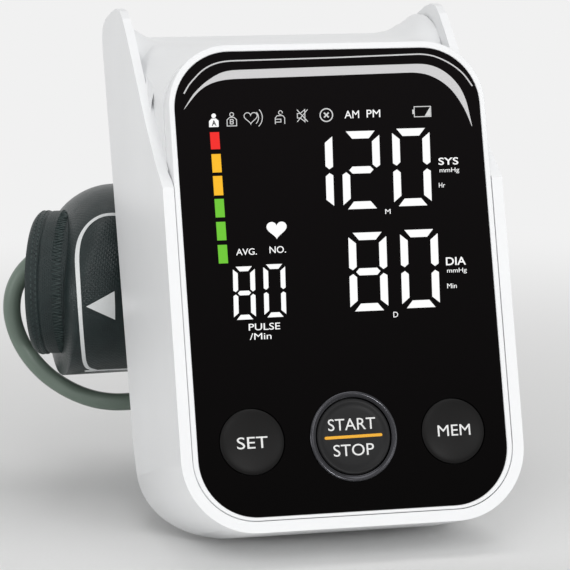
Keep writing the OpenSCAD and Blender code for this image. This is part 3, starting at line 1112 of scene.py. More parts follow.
    def build(self) -> None:
        """Lays the deck's sweeps and the label, and dresses each node that keeps its own shape."""
        shell = self.palette.get("shell")
        for side, name in ((1, "deck_sweep_right"), (-1, "deck_sweep_left")):
            self.deck_sweep(side).finish(name, shell, "shell_white", "root")
        for name, radius in (
            ("rear_housing", self.edge),
            ("stand_shell", self.edge),
            ("front_frame", self.fine_edge),
            ("battery_door", self.fine_edge),
        ):
            self.round_edges(self.dress(name, "shell"), radius)
        self.rear_label()
        self.dress("stand_base", "shell")
        self.dress("front_lens", "lens")
        for name, finish in (
            ("display_block", "reflector"),
            ("segment_diffusers", "diffuser"),
            ("main_board", "board"),
            ("button_switches", "black"),
            ("pump_motor", "steel"),
            ("pump_head", "ivory"),
            ("release_valve", "grey"),
            ("pressure_sensor", "black"),
            ("speaker", "black"),
            ("inner_air_tube", "vinyl"),
            ("air_socket", "socket"),
            ("power_socket", "black"),
            ("battery_cells", "cell"),
            ("battery_contacts", "steel"),
            ("front_foot", "rubber"),
            ("rear_feet", "rubber"),
            ("housing_screws", "steel"),
            ("hose_plug", "plug"),
            ("cuff_port", "plug"),
        ):
            self.dress(name, finish)


# ---------------------------------------------------------------------------
# Display
# ---------------------------------------------------------------------------


class Tone(Enum):
    """Colours that the display glows in, by the short name of their finish."""

    WHITE = "lit_white"
    PALE = "lit_pale"
    RED = "lit_red"
    AMBER = "lit_amber"
    GREEN = "lit_green"


# Bars that each number lights, named as on any seven-bar digit.
LIT_BARS = {"0": "abcdef", "1": "bc", "2": "abged", "8": "abcdefg"}


@dataclass(frozen=True)
class Digit:
    """One lit number: its middle above the lens's middle, its size and its bars' breadth."""

    value: str
    u: float
    v: float
    width: float
    height: float
    bar: float

    def outlines(self) -> list[Outline]:
        """Gives the outlines of the lit bars round the digit's middle."""
        half_w, half_h = self.width / 2, self.height / 2
        k = self.bar / 2.4
        top: Outline = [
            (-half_w + 3.4 * k, half_h - 2.35 * k),
            (half_w - 3.4 * k, half_h - 2.35 * k),
            (half_w - 1.45 * k, half_h),
            (-half_w + 1.45 * k, half_h),
        ]
        side: Outline = [
            (half_w - self.bar, 1.6 * k),
            (half_w - self.bar / 2, 0.6 * k),
            (half_w, 1.35 * k),
            (half_w, half_h - 1.35 * k),
            (half_w - self.bar, half_h - 3.3 * k),
        ]
        reach = half_w - 2.2 * k
        middle: Outline = [
            (-reach, 0),
            (-reach + 1.05 * k, -1.1 * k),
            (reach - 1.05 * k, -1.1 * k),
            (reach, 0),
            (reach - 1.05 * k, 1.1 * k),
            (-reach + 1.05 * k, 1.1 * k),
        ]
        flip_u = [(-u, v) for u, v in reversed(side)]
        bars = {
            "a": top,
            "b": side,
            "c": [(u, -v) for u, v in reversed(side)],
            "d": [(u, -v) for u, v in reversed(top)],
            "e": [(u, -v) for u, v in reversed(flip_u)],
            "f": flip_u,
            "g": middle,
        }
        return [bars[name] for name in LIT_BARS[self.value]]


@dataclass
class Display:
    """Everything that the lens shows: digits, signs, words, the level bars and the painted top
    glint.
    """

    palette: Palette
    sit: float = 0.06
    slant: float = 0.045
    big: tuple[float, float, float] = (12.2, 24.4, 2.4)
    small: tuple[float, float, float] = (6.9, 16.3, 1.5)
    bar_left: float = -38.5
    bar_right: float = -35.6
    line: float = 0.24

    def on_lens(self, u: float, v: float, depth: float = 0.0) -> Vector:
        """Gives a place just in front of the lens, with v from the lens's middle.

        Args:
            u: Distance across.
            v: Height above the lens's middle.
            depth: 0 for the print's front face and -1 for its back face.

        Returns:
            The point in millimetres.
        """
        return PANEL.place(u, PANEL.lens_front - self.sit * (1 + depth), PANEL.centre_v + v)

    def sheared(self, middle: Point2) -> Callable[[float, float], Vector]:
        """Gives a placer for outlines drawn upright round their own middle.

        Args:
            middle: Where their middle goes.

        Returns:
            A function from an outline's point to its place, slanted as the display's type is.
        """

        def placer(x: float, y: float) -> Vector:
            return self.on_lens(middle[0] + x + self.slant * y, middle[1] + y)

        return placer

    def plates(self, outlines: Iterable[Sequence[Point2]], middle: Point2) -> Solid:
        """Makes thin plates of outlines drawn round a middle."""
        solid = Solid()
        for outline in outlines:
            solid.extend(plate(outline, self.sheared(middle), PANEL.inward(self.sit)))
        return solid

    def digits(self) -> Solid:
        """Makes the readings: 120 over 80, and a pulse of 80."""
        readings = [
            Digit("1", -6.35, 33.5, *self.big),
            Digit("2", 8.85, 33.6, *self.big),
            Digit("0", 25.25, 34.0, *self.big),
            Digit("8", 8.65, 1.8, *self.big),
            Digit("0", 25.35, 2.1, *self.big),
            Digit("8", -31.15, -3.25, *self.small),
            Digit("0", -21.55, -2.9, *self.small),
        ]
        solid = Solid()
        for digit in readings:
            solid.extend(self.plates(digit.outlines(), (digit.u, digit.v)))
        return solid

    def words(self) -> Solid:
        """Makes the words beside the readings."""
        labels = [
            Lettering("SYS", 37.3, 35.5, 6.5, 2.3, 0.012),
            Lettering("mmHg", 37.4, 32.5, 6.4, 1.8),
            Lettering("Hr", 34.6, 28.0, 2.0, 1.5),
            Lettering("M", 16.4, 20.3, 1.7, 1.5),
            Lettering("DIA", 37.2, 4.0, 6.5, 2.5, 0.012),
            Lettering("mmHg", 37.3, 0.9, 6.4, 1.8),
            Lettering("Min", 35.3, -3.7, 3.1, 1.5),
            Lettering("D", 16.4, -11.9, 1.5, 1.7),
            Lettering("NO.", -19.7, 9.7, 5.2, 2.1, 0.004),
            Lettering("AVG.", -29.6, 9.4, 6.5, 2.0, 0.004),
            Lettering("PULSE", -25.6, -13.8, 9.9, 2.1, 0.004),
            Lettering("/Min", -27.0, -16.7, 6.8, 2.0),
            Lettering("AM", 7.1, 51.1, 4.7, 2.4),
            Lettering("PM", 14.1, 51.2, 4.4, 2.4),
        ]
        solid = Solid()
        for label in labels:

            def placer(u: float, v: float, depth: float, row: float = label.v) -> Vector:
                return self.on_lens(u + self.slant * (v - row), v, depth)

            solid.extend(label.solid(placer))
        return solid

    def heart(self, width: float, steps: int = 48) -> Outline:
        """Gives a heart's outline round its own middle.

        Args:
            width: Its breadth.
            steps: Its number of points.

        Returns:
            The outline, anticlockwise.
        """
        points = []
        for i in range(steps):
            t = -math.tau * i / steps
            x = 16 * math.sin(t) ** 3
            y = 13 * math.cos(t) - 5 * math.cos(2 * t) - 2 * math.cos(3 * t) - math.cos(4 * t)
            points.append((x * width / 32, (y + 2.5) * width / 34))
        return points

    def person(self) -> tuple[Outline, Outline]:
        """Gives the head and the shoulders of the sign for a user."""
        head = arc((0, 1.4), 0.72, 0, 340, 17)
        shoulders: Outline = [
            (-1.5, -2.1), (1.5, -2.1), (1.5, -0.2), (0.7, 0.55), (-0.7, 0.55), (-1.5, -0.2),
        ]
        return head, shoulders

    def signs(self) -> Solid:
        """Makes the row of signs over the readings and the heart over the pulse."""
        line = self.line
        solid = Solid()

        second = stroke(arc((0, 1.45), 0.6, 0, 340, 17), line, closed=True)
        second += stroke(self.person()[1], line, closed=True)
        for run in (
            [(-0.5, -1.5), (-0.5, -0.1), (0.3, -0.1), (0.5, -0.45), (0.3, -0.8), (-0.4, -0.8)],
            [(0.3, -0.8), (0.5, -1.15), (0.3, -1.5), (-0.5, -1.5)],
        ):
            second += stroke(run, line)

        beat = stroke([(x - 1.2, y) for x, y in self.heart(4.2)], line, closed=True)
        for reach in (2.5, 3.7):
            beat += stroke(arc((-1.2, 0.2), reach, -48, 42, 10), line)

        cuffed = stroke(arc((0.2, 1.45), 0.6, -20, 300, 14), line)
        for run in (
            [(-1.5, -2.1), (-1.5, -0.2), (-0.9, 0.5), (0.9, 0.5), (1.5, -0.2), (1.5, -2.1)],
            [(-1.5, -0.6), (0.3, -0.6), (0.3, -1.5), (-1.5, -1.5)],
        ):
            cuffed += stroke(run, line)

        horn = [(-1.6, -0.7), (-1.6, 0.7), (-0.7, 0.7), (0.8, 1.9), (0.8, -1.9), (-0.7, -0.7)]
        mute = stroke(horn, line, closed=True)
        for run in ([(-1.7, 1.9), (1.7, -1.9)], [(-1.7, -1.9), (1.7, 1.9)]):
            mute += stroke(run, line)

        error = stroke(arc((0, 0), 2.0, 0, 350, 35), 0.34, closed=True)
        for run in ([(-0.75, 0.75), (0.75, -0.75)], [(-0.75, -0.75), (0.75, 0.75)]):
            error += stroke(run, 0.45)

        cell = stroke([(-2.5, -1.6), (2.9, -1.6), (2.9, 1.6), (-2.5, 1.6)], line, closed=True)
        cell += [[(-3.1, -0.7), (-2.6, -0.7), (-2.6, 0.7), (-3.1, 0.7)]]
        cell += [[(0.9, -1.4), (2.7, -1.4), (2.7, 1.4)]]

        for sign, middle in (
            (second, (-31.3, 50.6)),
            (beat, (-24.1, 50.7)),
            (cuffed, (-16.0, 50.8)),
            (mute, (-8.8, 51.1)),
            (error, (-1.1, 51.1)),
            (cell, (29.9, 51.4)),
        ):
            solid.extend(self.plates(sign, middle))
        return solid

    def level_bars(self) -> list[tuple[Tone, Solid]]:
        """Makes the column of level bars, each with its tone."""
        rows = [
            (Tone.RED, 41.4, 46.7),
            (Tone.AMBER, 34.2, 39.9),
            (Tone.AMBER, 27.1, 33.1),
            (Tone.GREEN, 20.3, 26.0),
            (Tone.GREEN, 13.2, 18.9),
            (Tone.GREEN, 6.1, 11.8),
        ]
        bars = []
        for tone, low, high in rows:
            outline = [
                (self.bar_left, low),
                (self.bar_right, low),
                (self.bar_right, high),
                (self.bar_left, high),
            ]
            bars.append((tone, plate(outline, self.on_lens, PANEL.inward(self.sit))))
        return bars

    def glint(self) -> Solid:
        """Makes the painted highlight along the top of the lens: a pale crescent and a hairline."""
        outer = [
            (-46.2, 130.5), (-43, 135.2), (-39.1, 138.7), (-35.2, 141.1), (-32.6, 142.1),
            (-29.5, 142.4), (1.2, 142.8), (31.1, 143.1), (34.8, 142.4), (38.4, 140.5),
            (41.2, 137.9), (43.3, 134.9), (44.8, 130.9), (46, 122.8),
        ]
        inner = [
            (45.9, 122.8), (44.2, 127.9), (42.2, 131.7), (39.9, 135), (36.7, 137.7),
            (32.7, 139.7), (28.6, 140.4), (0.9, 140), (-30.9, 139.6), (-34.4, 139.2),
            (-37.5, 138.3), (-40.5, 136.6), (-42.5, 134.7), (-45.8, 130.8),
        ]
        hairline = [
            (-45.8, 135.4), (-44.1, 138.2), (-39.8, 142.4), (-37.1, 144), (-34, 145),
            (-30.8, 145.3), (1.4, 145.6), (31.3, 146.2), (35, 145.6), (38.7, 144),
            (42.3, 141.7), (44.8, 139.3), (47.1, 135.6),
        ]
        solid = Solid()
        back = PANEL.inward(self.sit)

        def placer(u: float, v: float) -> Vector:
            return self.on_lens(u, v - PANEL.centre_v)

        above, below = even_line(outer, 0.8), even_line(inner[::-1], 0.8)
        count = 120
        ends = []
        for i in range(count + 1):
            up = above[round(i / count * (len(above) - 1))]
            down = below[round(i / count * (len(below) - 1))]
            ends.append((down, up))
        for (a, b), (c, d) in zip(ends, ends[1:]):
            solid.extend(plate([a, c, d, b], placer, back))
        for outline in stroke(even_line(hairline, 0.8), 0.42):
            solid.extend(plate(outline, placer, back))
        return solid

    def show(
        self, solid: Solid, name: str, finish: str, slot: str = "diffuser_white"
    ) -> None:
        """Makes a flat-shaded piece of the display from a solid.

        Args:
            solid: The piece's solid.
            name: Its name.
            finish: The finish's short name.
            slot: The record's material slot.
        """
        solid.finish(name, self.palette.get(finish), slot, "root", smooth=False)

    def build(self) -> None:
        """Makes every piece of the display."""
        bright = self.plates(self.person(), (-37.0, 50.4))
        bright.extend(self.plates([self.heart(6.4)], (-19.6, 15.6)))
        self.show(self.digits(), "lit_digits", Tone.WHITE.value)
        self.show(self.words(), "lit_words", Tone.WHITE.value)
        self.show(bright, "lit_person_heart", Tone.WHITE.value)
        self.show(self.signs(), "lit_signs", Tone.PALE.value)
        for number, (tone, bar) in enumerate(self.level_bars(), 1):
            self.show(bar, f"level_bar_{number}", tone.value)
        letter = Lettering("A", -37.0, 49.5, 1.5, 1.7, 0.02)
        mask = letter.solid(lambda u, v, depth: self.on_lens(u, v, depth) - PANEL.inward(self.sit))
        self.show(mask, "user_letter", "mask", "lens_black")
        # the glint is pale ink: a painted highlight
        self.show(self.glint(), "lens_glint", "glint", "ring_chrome")


# ---------------------------------------------------------------------------
# Buttons
# ---------------------------------------------------------------------------


@dataclass
class ButtonRow:
    """The two domed side buttons, the flat start button in its ring, and their legends."""

    palette: Palette
    row_v: float = 27.7
    pitch: float = 32.0
    side_r: float = 10.0
    start_r: float = 11.7
    ring_in: float = 12.05
    ring_out: float = 13.95
    dome: float = 0.9
    skirt: float = 2.6
    flange_back: float = 3.8
    stem_r: float = 3.0
    stem_end: float = 8.55
    ink: float = 0.05

    def dome_height(self, radius: float) -> float:
        """Gives the height of a side button's face over the lens.

        Args:
            radius: Distance from the button's middle.

        Returns:
            The height in millimetres; the face falls off quickly near its edge.
        """
        share = min(radius / self.side_r, 1.0)
        return self.dome - 0.85 * share**2 - 0.4 * share**14

    def dish_height(self, radius: float) -> float:
        """Gives the height of the start button's face over the lens.

        Args:
            radius: Distance from the button's middle.

        Returns:
            The height in millimetres; a shallow dish runs up to a rounded rim.
        """
        share = min(radius / self.start_r, 1.0)
        rise = 0.55 / (1 + math.exp(-(share - 0.86) * 40))
        fall = 0.45 * max(0.0, (share - 0.95) / 0.05) ** 2
        return -0.35 + 0.12 * share**2 + rise - fall

    def cap(self, u: float, radius: float, height: Callable[[float], float]) -> Solid:
        """Makes a button with its face, flange and stem.

        Args:
            u: The button's place across the panel.
            radius: The radius of its face.
            height: The face's height over the lens at a radius.

        Returns:
            The solid.
        """
        shares = [0.02, 0.15, 0.3, 0.45, 0.6, 0.72, 0.8, 0.86, 0.9, 0.93, 0.96, 0.98, 0.995, 1.0]
        profile = [(radius * s, height(radius * s)) for s in shares]
        profile += [
            (radius, -self.skirt),
            (radius + 1, -self.skirt),
            (radius + 1, -self.flange_back),
            (self.stem_r, -self.flange_back),
            (self.stem_r, -self.stem_end),
        ]
        return lathe(profile, lambda x, y, h: PANEL.place(u + x, -h, self.row_v + y), 96)

    def legend(
        self, lettering: Lettering, height: Callable[[float], float], middle: float
    ) -> Solid:
        """Prints words on a button's face.

        Args:
            lettering: The words, with their place on the panel.
            height: The face's height at a distance from its middle.
            middle: The button's place across the panel.

        Returns:
            The ink as a thin solid that follows the face.
        """

        def placer(u: float, v: float, depth: float) -> Vector:
            radius = math.hypot(u - middle, v - self.row_v)
            return PANEL.place(u, -height(radius) - self.ink * (1 + depth), v)

        return lettering.solid(placer)

    def dash(self) -> Solid:
        """Makes the amber line between the two words of the start button."""
        ends = [(-8.75, 27.6), (8.75, 27.8)]
        half = 0.45
        outline = arc(ends[0], half, 90, 270, 8) + arc(ends[1], half, -90, 90, 8)

        def placer(u: float, v: float) -> Vector:
            radius = math.hypot(u, v - self.row_v)
            return PANEL.place(u, -self.dish_height(radius) - self.ink, v)

        solid = Solid()
        pieces = 12
        row = [
            [near + (far - near) * i / pieces for near, far in zip(*ends)]
            for i in range(pieces + 1)
        ]
        for (u0, v0), (u1, v1) in zip(row, row[1:]):
            corners = [(u0, v0 - half), (u1, v1 - half), (u1, v1 + half), (u0, v0 + half)]
            solid.extend(plate(corners, placer, PANEL.inward(self.ink)))
        count = len(outline) // 2
        for tip in (outline[:count], outline[count:]):
            solid.extend(plate(tip, placer, PANEL.inward(self.ink)))
        return solid

    def ring(self) -> Solid:
        """Makes the ring round the start button, with a rolled top and a thin inner lip."""
        profile = [
            (self.ring_out, -2.3), (self.ring_out, -0.1), (self.ring_out - 0.08, 0.2),
            (self.ring_out - 0.3, 0.45), (self.ring_out - 0.65, 0.58), (self.ring_out - 1.0, 0.5),
            (self.ring_out - 1.3, 0.28), (self.ring_in + 0.35, 0.12), (self.ring_in + 0.2, 0.22),
            (self.ring_in + 0.05, 0.12), (self.ring_in, -0.1), (self.ring_in, -2.3),
        ]
        return ring_lathe(profile, lambda x, y, h: PANEL.place(x, -h, self.row_v + y))

    def build(self) -> None:
        """Makes the buttons, their ring and their legends."""
        cap = self.palette.get("cap")
        white = self.palette.get("legend")
        for name, u, word in (
            ("set_button", -self.pitch, Lettering("SET", -32.2, 27.4, 9.6, 3.6)),
            ("mem_button", self.pitch, Lettering("MEM", 32.0, 27.9, 10.5, 3.4)),
        ):
            piece = self.cap(u, self.side_r, self.dome_height)
            piece = piece.finish(f"{name}_cap", cap, "button_charcoal", name)
            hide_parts(name)
            ink = self.legend(word, self.dome_height, u)
            ink.finish(f"{name}_legend", white, "button_charcoal", name, smooth=False)
        start = self.cap(0, self.start_r, self.dish_height)
        name = "start_stop_button"
        piece = start.finish(f"{name}_cap", self.palette.get("face"), "button_charcoal", name)
        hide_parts(name)
        words = Solid()
        for word in (
            Lettering("START", -0.3, 31.5, 15.1, 3.6),
            Lettering("STOP", -0.2, 23.6, 12.9, 3.6),
        ):
            words.extend(self.legend(word, self.dish_height, 0))
        words.finish(f"{name}_legend", white, "button_charcoal", name, smooth=False)
        amber = self.palette.get("legend_amber")
        self.dash().finish(f"{name}_line", amber, "button_charcoal", name, smooth=False)
        chrome = self.palette.get("ring")
        ring = self.ring().finish("start_ring_rolled", chrome, "ring_chrome", "root")
        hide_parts("start_ring")


# ---------------------------------------------------------------------------
# Cuff
# ---------------------------------------------------------------------------


@dataclass
class Cuff:
    """The rolled arm cuff: an inner wrap that sticks out, an outer wrap, seams and print.

    Angles are in degrees round the cuff's axis: 0 faces the front and 90 is the top.
    """

    palette: Palette
    axis_y: float = 75.0
    axis_z: float = 72.0
    bore_r: float = 17.0
    inner_r: float = 24.5
    outer_r: float = 32.4
    rim_x: float = -75.0
    rim_slant: float = 20.0
    right_x: float = 72.0
    outer_right_x: float = 62.0
    layer: float = 2.5
    # the flap's free end: its angle and the breadths of its hem and of the pile beside it
    flap_angle: float = 128.0
    hem: float = 9.0
    pile: float = 38.0
    turns: int = 144
    body: str = "cuff_set"
    slot: str = "cuff_nylon"

    def place(self, x: float, radius: float, angle: float) -> Vector:
        """Gives the point at a radius and an angle round the cuff's axis."""
        turn = math.radians(angle)
        return Vector(
            (x, self.axis_y - radius * math.cos(turn), self.axis_z + radius * math.sin(turn))
        )

    def rim(self, radius: float, angle: float) -> float:
        """Gives x of the slanted left end at a radius and an angle."""
        slant = math.tan(math.radians(self.rim_slant))
        return self.rim_x - radius * math.cos(math.radians(angle)) * slant

    def roll(self, radius: float, angle: float) -> float:
        """Gives how deep the end of the roll is sunk between two of its layers.

        Args:
            radius: Distance from the axis.
            angle: Angle round it; the layers wind inwards once a turn.

        Returns:
            The depth in millimetres, 0 on the crest of a layer.
        """
        phase = (radius - self.bore_r) / self.layer - angle / 360
        return 1.1 * (1 - abs(math.sin(math.pi * phase))) ** 2.2

    def sway(self, x: float, angle: float, size: float) -> float:
        """Gives the slight puffiness of the padded fabric at a place."""
        turn = math.radians(angle)
        return size * (
            0.5 * math.sin(2 * turn + 0.11 * x)
            + 0.3 * math.sin(5 * turn - 0.07 * x + 1.0)
            + 0.2 * math.sin(9 * turn + 0.23 * x + 2.0)
        )

    def inner_radius(self, run: float, x: float, angle: float) -> float:
        """Gives the inner wrap's outer radius.

        Args:
            run: Distance from the left rim along the axis.
            x: Place along the axis.
            angle: Angle round it.

        Returns:
            The radius: a rounded rim, a bound edge, a stitched groove and the padded wrap, which
            is pressed a little flat on top.
        """
        rounding = 1.6 * max(0.0, 1 - run / 1.6) ** 2
        groove = 0.28 * math.exp(-(((run - 4.5) / 0.35) ** 2))
        bound = 0.06 if run < 4.3 else 0.0
        pressed = 1.2 * max(0.0, math.sin(math.radians(angle))) ** 2
        gathers = 0.16 * math.sin(math.radians(angle) * 96) * math.exp(-(((run - 10.6) / 1.6) ** 2))
        radius = self.inner_r - rounding - groove + bound - pressed + gathers
        return radius + self.sway(x, angle, 0.2)

    def torus(
        self, section: Callable[[float], list[Point2]], name: str, finish: str
    ) -> bpy.types.Object:
        """Makes a closed sleeve whose section may change round the axis.

        Args:
            section: Gives x and radius of each point of the closed section at an angle.
            name: The piece's name.
            finish: The finish's short name.

        Returns:
            The piece.
        """
        solid = Solid()
        rows = len(section(0.0))
        points: list[Vector] = []
        longest = 0.0
        for step in range(self.turns):
            # the cloth meets itself at the back
            angle = 360 * step / self.turns - 180
            run = 0.0
            outline = section(angle)
            before = outline[0]
            for x, radius in outline:
                run += math.hypot(x - before[0], radius - before[1])
                before = (x, radius)
                points.append(self.place(x, radius, angle))
                solid.cloth.append((run, math.radians(angle) * self.outer_r))
            longest = max(longest, run)
        solid.repeat = (longest, math.tau * self.outer_r)
        solid.add(points, wrapped_grid(rows, self.turns))
        return solid.finish(name, self.palette.get(finish), self.slot, self.body)

    def inner_section(self, angle: float) -> list[Point2]:
        """Gives the inner wrap's section: left end, outside, right end and bore."""
        section = []
        steps = 18
        pressed = 1.2 * max(0.0, math.sin(math.radians(angle))) ** 2
        low, high = self.bore_r + 0.5, self.inner_r - 1.7 - pressed
        for i in range(steps + 1):
            radius = low + (high - low) * i / steps
            section.append((self.rim(radius, angle) + self.roll(radius, angle), radius))
        runs = [0.12, 0.4, 0.8, 1.3, 1.8, 2.6, 3.4, 3.9, 4.2, 4.5, 4.8, 5.2, 6]
        runs += [7, 8, 8.6, 9.2, 9.8, 10.4, 11, 11.6, 12.2, 13, 14]
        edge = self.rim(self.inner_r, angle)
        for run in runs:
            section.append((edge + run, self.inner_radius(run, edge + run, angle)))
        for x in (-55, -30, 0, 30, 55, 60, 63, 65.5, 67.5, 68.2, 69, 70, 71, 71.7):
            section.append((x, self.inner_radius(self.right_x - x, x, angle)))
        for i in range(steps + 1):
            radius = high + (low - high) * i / steps
            section.append((self.right_x - self.roll(radius, angle), radius))
        for x in (71.5, 69, 60, 40, 20, 0, -20, -40, -55):
            section.append((x, self.bore_r + self.sway(x, angle, 0.1)))
        bore_edge = self.rim(self.bore_r, angle)
        for run in (6, 3, 1, 0.4):
            section.append((bore_edge + run, self.bore_r + 0.25 * max(0.0, 1 - run)))
        return section

    def shoulder(self, angle: float) -> tuple[float, float]:
        """Gives where the outer wrap starts at the left and how long its shoulder is.

        Args:
            angle: Angle round the axis.

        Returns:
            x of its left edge and the length over which it rises to its full radius. The
            shoulder is long at the top, where the wrap is pulled down, and short below.
        """
        turn = math.radians(angle)
        up, front = math.sin(turn), math.cos(turn)
        edge = -68.5 + 2.8 * max(up, 0) - 2.7 * max(front, 0) ** 2
        length = 6.5 + 11.1 * max(up, 0) ** 1.5 - 5.8 * max(-up, 0) ** 0.7
        return edge, length

    def outer_radius(self, x: float, angle: float) -> float:
        """Gives the outer wrap's radius at a place along the axis.

        Args:
            x: Place along the axis.
            angle: Angle round it.

        Returns:
            The radius, drawn in at both ends: gently at the top left, squarely below.
        """
        edge, length = self.shoulder(angle)
        up = max(math.sin(math.radians(angle)), 0.0)
        left = min(max((x - edge) / length, 0.0), 1.0)
        right = min(max((self.outer_right_x - x) / 9.0, 0.0), 1.0)
        rise = max(0.0, 1 - (1 - left) ** 2) ** (0.5 + 0.35 * up)
        rise *= math.sqrt(1 - (1 - right) ** 2.2)
        full = self.outer_r - 0.3 + self.sway(x, angle, 0.25)
        foot = self.inner_r + 0.2 - 1.2 * up**2
        return foot + (full - foot) * rise

    def outer_section(self, angle: float) -> list[Point2]:
        """Gives the outer wrap's section: its outside from left to right, and its inside."""
        edge, length = self.shoulder(angle)
        within = self.inner_r - 2.2
        section = [(edge + 0.2, within)]
        shares = [0.0, 0.01, 0.03, 0.06, 0.1, 0.15, 0.2, 0.26]
        shares += [0.33, 0.41, 0.5, 0.6, 0.7, 0.8, 0.9, 1.0]
        for share in shares:
            x = edge + length * share
            section.append((x, self.outer_radius(x, angle)))
        start = edge + length
        steps = 40
        for i in range(1, steps + 1):
            x = start + (self.outer_right_x - 9 - start) * i / steps
            section.append((x, self.outer_radius(x, angle)))
        for back in (7, 5, 3.6, 2.5, 1.6, 0.9, 0.4, 0.1, 0.0):
            x = self.outer_right_x - back
            section.append((x, self.outer_radius(x, angle)))
        section.append((self.outer_right_x - 0.2, within))
        section.append((0.0, within))
        return section

    def bladder_section(self, angle: float) -> list[Point2]:
        """Gives the flat bladder's section inside the inner wrap."""
        middle, half, thick = 20.7, 54.0, 1.2
        ends = []
        for x, side in ((half, 1), (-half, -1)):
            for turn in (-80, -40, 0, 40, 80):
                bend = math.radians(turn) * -side
                along = x - side * thick + side * thick * math.cos(bend)
                ends.append((along, middle + thick * math.sin(bend)))
        return list(reversed(ends))

    def decal(
        self,
        rows: Sequence[Sequence[Point2]],
        radius: Callable[[float, float], float],
        lift: float,
        closed: bool = False,
    ) -> Solid:
        """Lays a thin skin on a wrap.

        Args:
            rows: Places along and round the cuff, in millimetres, in rows of equal length.
            radius: The wrap's radius at x and an angle.
            lift: How far the skin stands over the wrap.
            closed: Whether the last row joins the first.

        Returns:
            The skin as a closed solid that sinks a little into the wrap.
        """
        count, lanes = len(rows), len(rows[0])
        solid = Solid()
        points = []
        for rise in (lift, -0.25):
            for row in rows:
                for x, run in row:
                    angle = math.degrees(run / self.outer_r)
                    points.append(self.place(x, radius(x, angle) + rise, angle))
                    solid.cloth.append((x, run))
        under = count * lanes
        faces: list[tuple[int, ...]] = []
        for i in range(count if closed else count - 1):
            a, b = i * lanes, ((i + 1) % count) * lanes
            for lane in range(lanes - 1):
                top = (a + lane, a + lane + 1, b + lane + 1, b + lane)
                faces.append(top)
                faces.append(tuple(under + k for k in reversed(top)))
            faces.append((a, b, b + under, a + under))
            end = lanes - 1
            faces.append((b + end, a + end, a + end + under, b + end + under))
        if not closed:
            for first, turn in ((0, 1), ((count - 1) * lanes, -1)):
                edge = [(first + k, first + k + 1) for k in range(lanes - 1)]
                faces.extend(
                    (m, k, k + under, m + under) if turn > 0 else (k, m, m + under, k + under)
                    for k, m in edge
                )
        solid.add(points, faces)
        return solid

    def ribbon(
        self,
        line: Sequence[Point2],
        width: float,
        radius: Callable[[float, float], float],
        lift: float,
        closed: bool = False,
        lanes: int = 5,
    ) -> Solid:
        """Lays a flat ribbon on a wrap.

        Args:
            line: x and angle of each point of its middle.
            width: Its breadth.
            radius: The wrap's radius at x and an angle.
            lift: How far the ribbon stands over the wrap.
            closed: Whether its ends meet.
            lanes: Points across it.

        Returns:
            The ribbon as a thin solid.
        """
        flat = [Vector((x, math.radians(angle) * self.outer_r)) for x, angle in line]
        count = len(flat)
        rows = []
        for i, point in enumerate(flat):
            before = flat[i - 1] if i or closed else point
            after = flat[(i + 1) % count] if i < count - 1 or closed else point
            way = (after - before).normalized()
            off = Vector((-way.y, way.x)) * width
            rows.append([tuple(point + off * (0.5 - k / (lanes - 1))) for k in range(lanes)])
        return self.decal(rows, radius, lift, closed)

    def print_line(self) -> list[Point2]:
        """Gives x and angle of the printed frame's middle line."""
        left = [
            (-51.7, 49.0), (-56.5, 49.0), (-60.0, 46.9), (-62.6, 43.2), (-64.6, 38.0),
            (-65.9, 31.8), (-66.8, 24.0), (-67.2, 16.0), (-67.3, 7.0), (-67.2, -2.0),
            (-66.9, -11.0), (-66.4, -20.0), (-65.6, -30.5), (-64.6, -41.0), (-63.4, -51.0),
            (-61.6, -59.0), (-58.6, -64.0), (-54.0, -66.0),
        ]
        right = [(-x - 12, angle) for x, angle in reversed(left)]
        return [tuple(p) for p in smooth_line(left + right + left[:1], 4)][:-1]

    def seam(self) -> Solid:
        """Makes the zigzag stitches of the gathered seam on the inner wrap."""
        count = 120
        solid = Solid()
        for i in range(count):
            line = []
            for step in range(5):
                angle = 360 * (i + step / 4) / count
                swing = abs(step / 2 - 1)
                x = self.rim(self.inner_r, angle) + 8.9 + 2.9 * swing
                line.append((x, angle))
            solid.extend(self.ribbon(line, 0.42, self.seam_radius, 0.25, lanes=2))
        return solid

    def seam_radius(self, x: float, angle: float) -> float:
        """Gives the inner wrap's radius under the seam."""
        return self.inner_radius(x - self.rim(self.inner_r, angle), x, angle)

    def edge_stitches(self) -> Solid:
        """Makes the short stitches that hold the binding at the left rim."""
        count = 80
        solid = Solid()
        for row in (1.9, 3.4):
            for i in range(count):
                angle = 360 * (i + row) / count
                x = self.rim(self.inner_r, angle) + row
                line = [(x, angle), (x, angle + 360 / count * 0.5)]
                solid.extend(self.ribbon(line, 0.4, self.seam_radius, 0.16, lanes=2))
        return solid

    def arrow(self) -> Solid:
        """Makes the printed arrowhead that shows where the artery lies."""
        tip, low, high = (
            Vector((x, math.radians(angle) * self.outer_r))
            for x, angle in ((-64.9, -8.1), (-55.1, -17.0), (-55.5, 0.6))
        )
        slices = 16
        rows = []
        for i in range(slices + 1):
            share = 0.004 + 0.996 * i / slices
            near, far = tip.lerp(low, share), tip.lerp(high, share)
            rows.append([tuple(near.lerp(far, k / slices)) for k in range(slices + 1)])
        return self.decal(rows, self.outer_radius, 0.12)

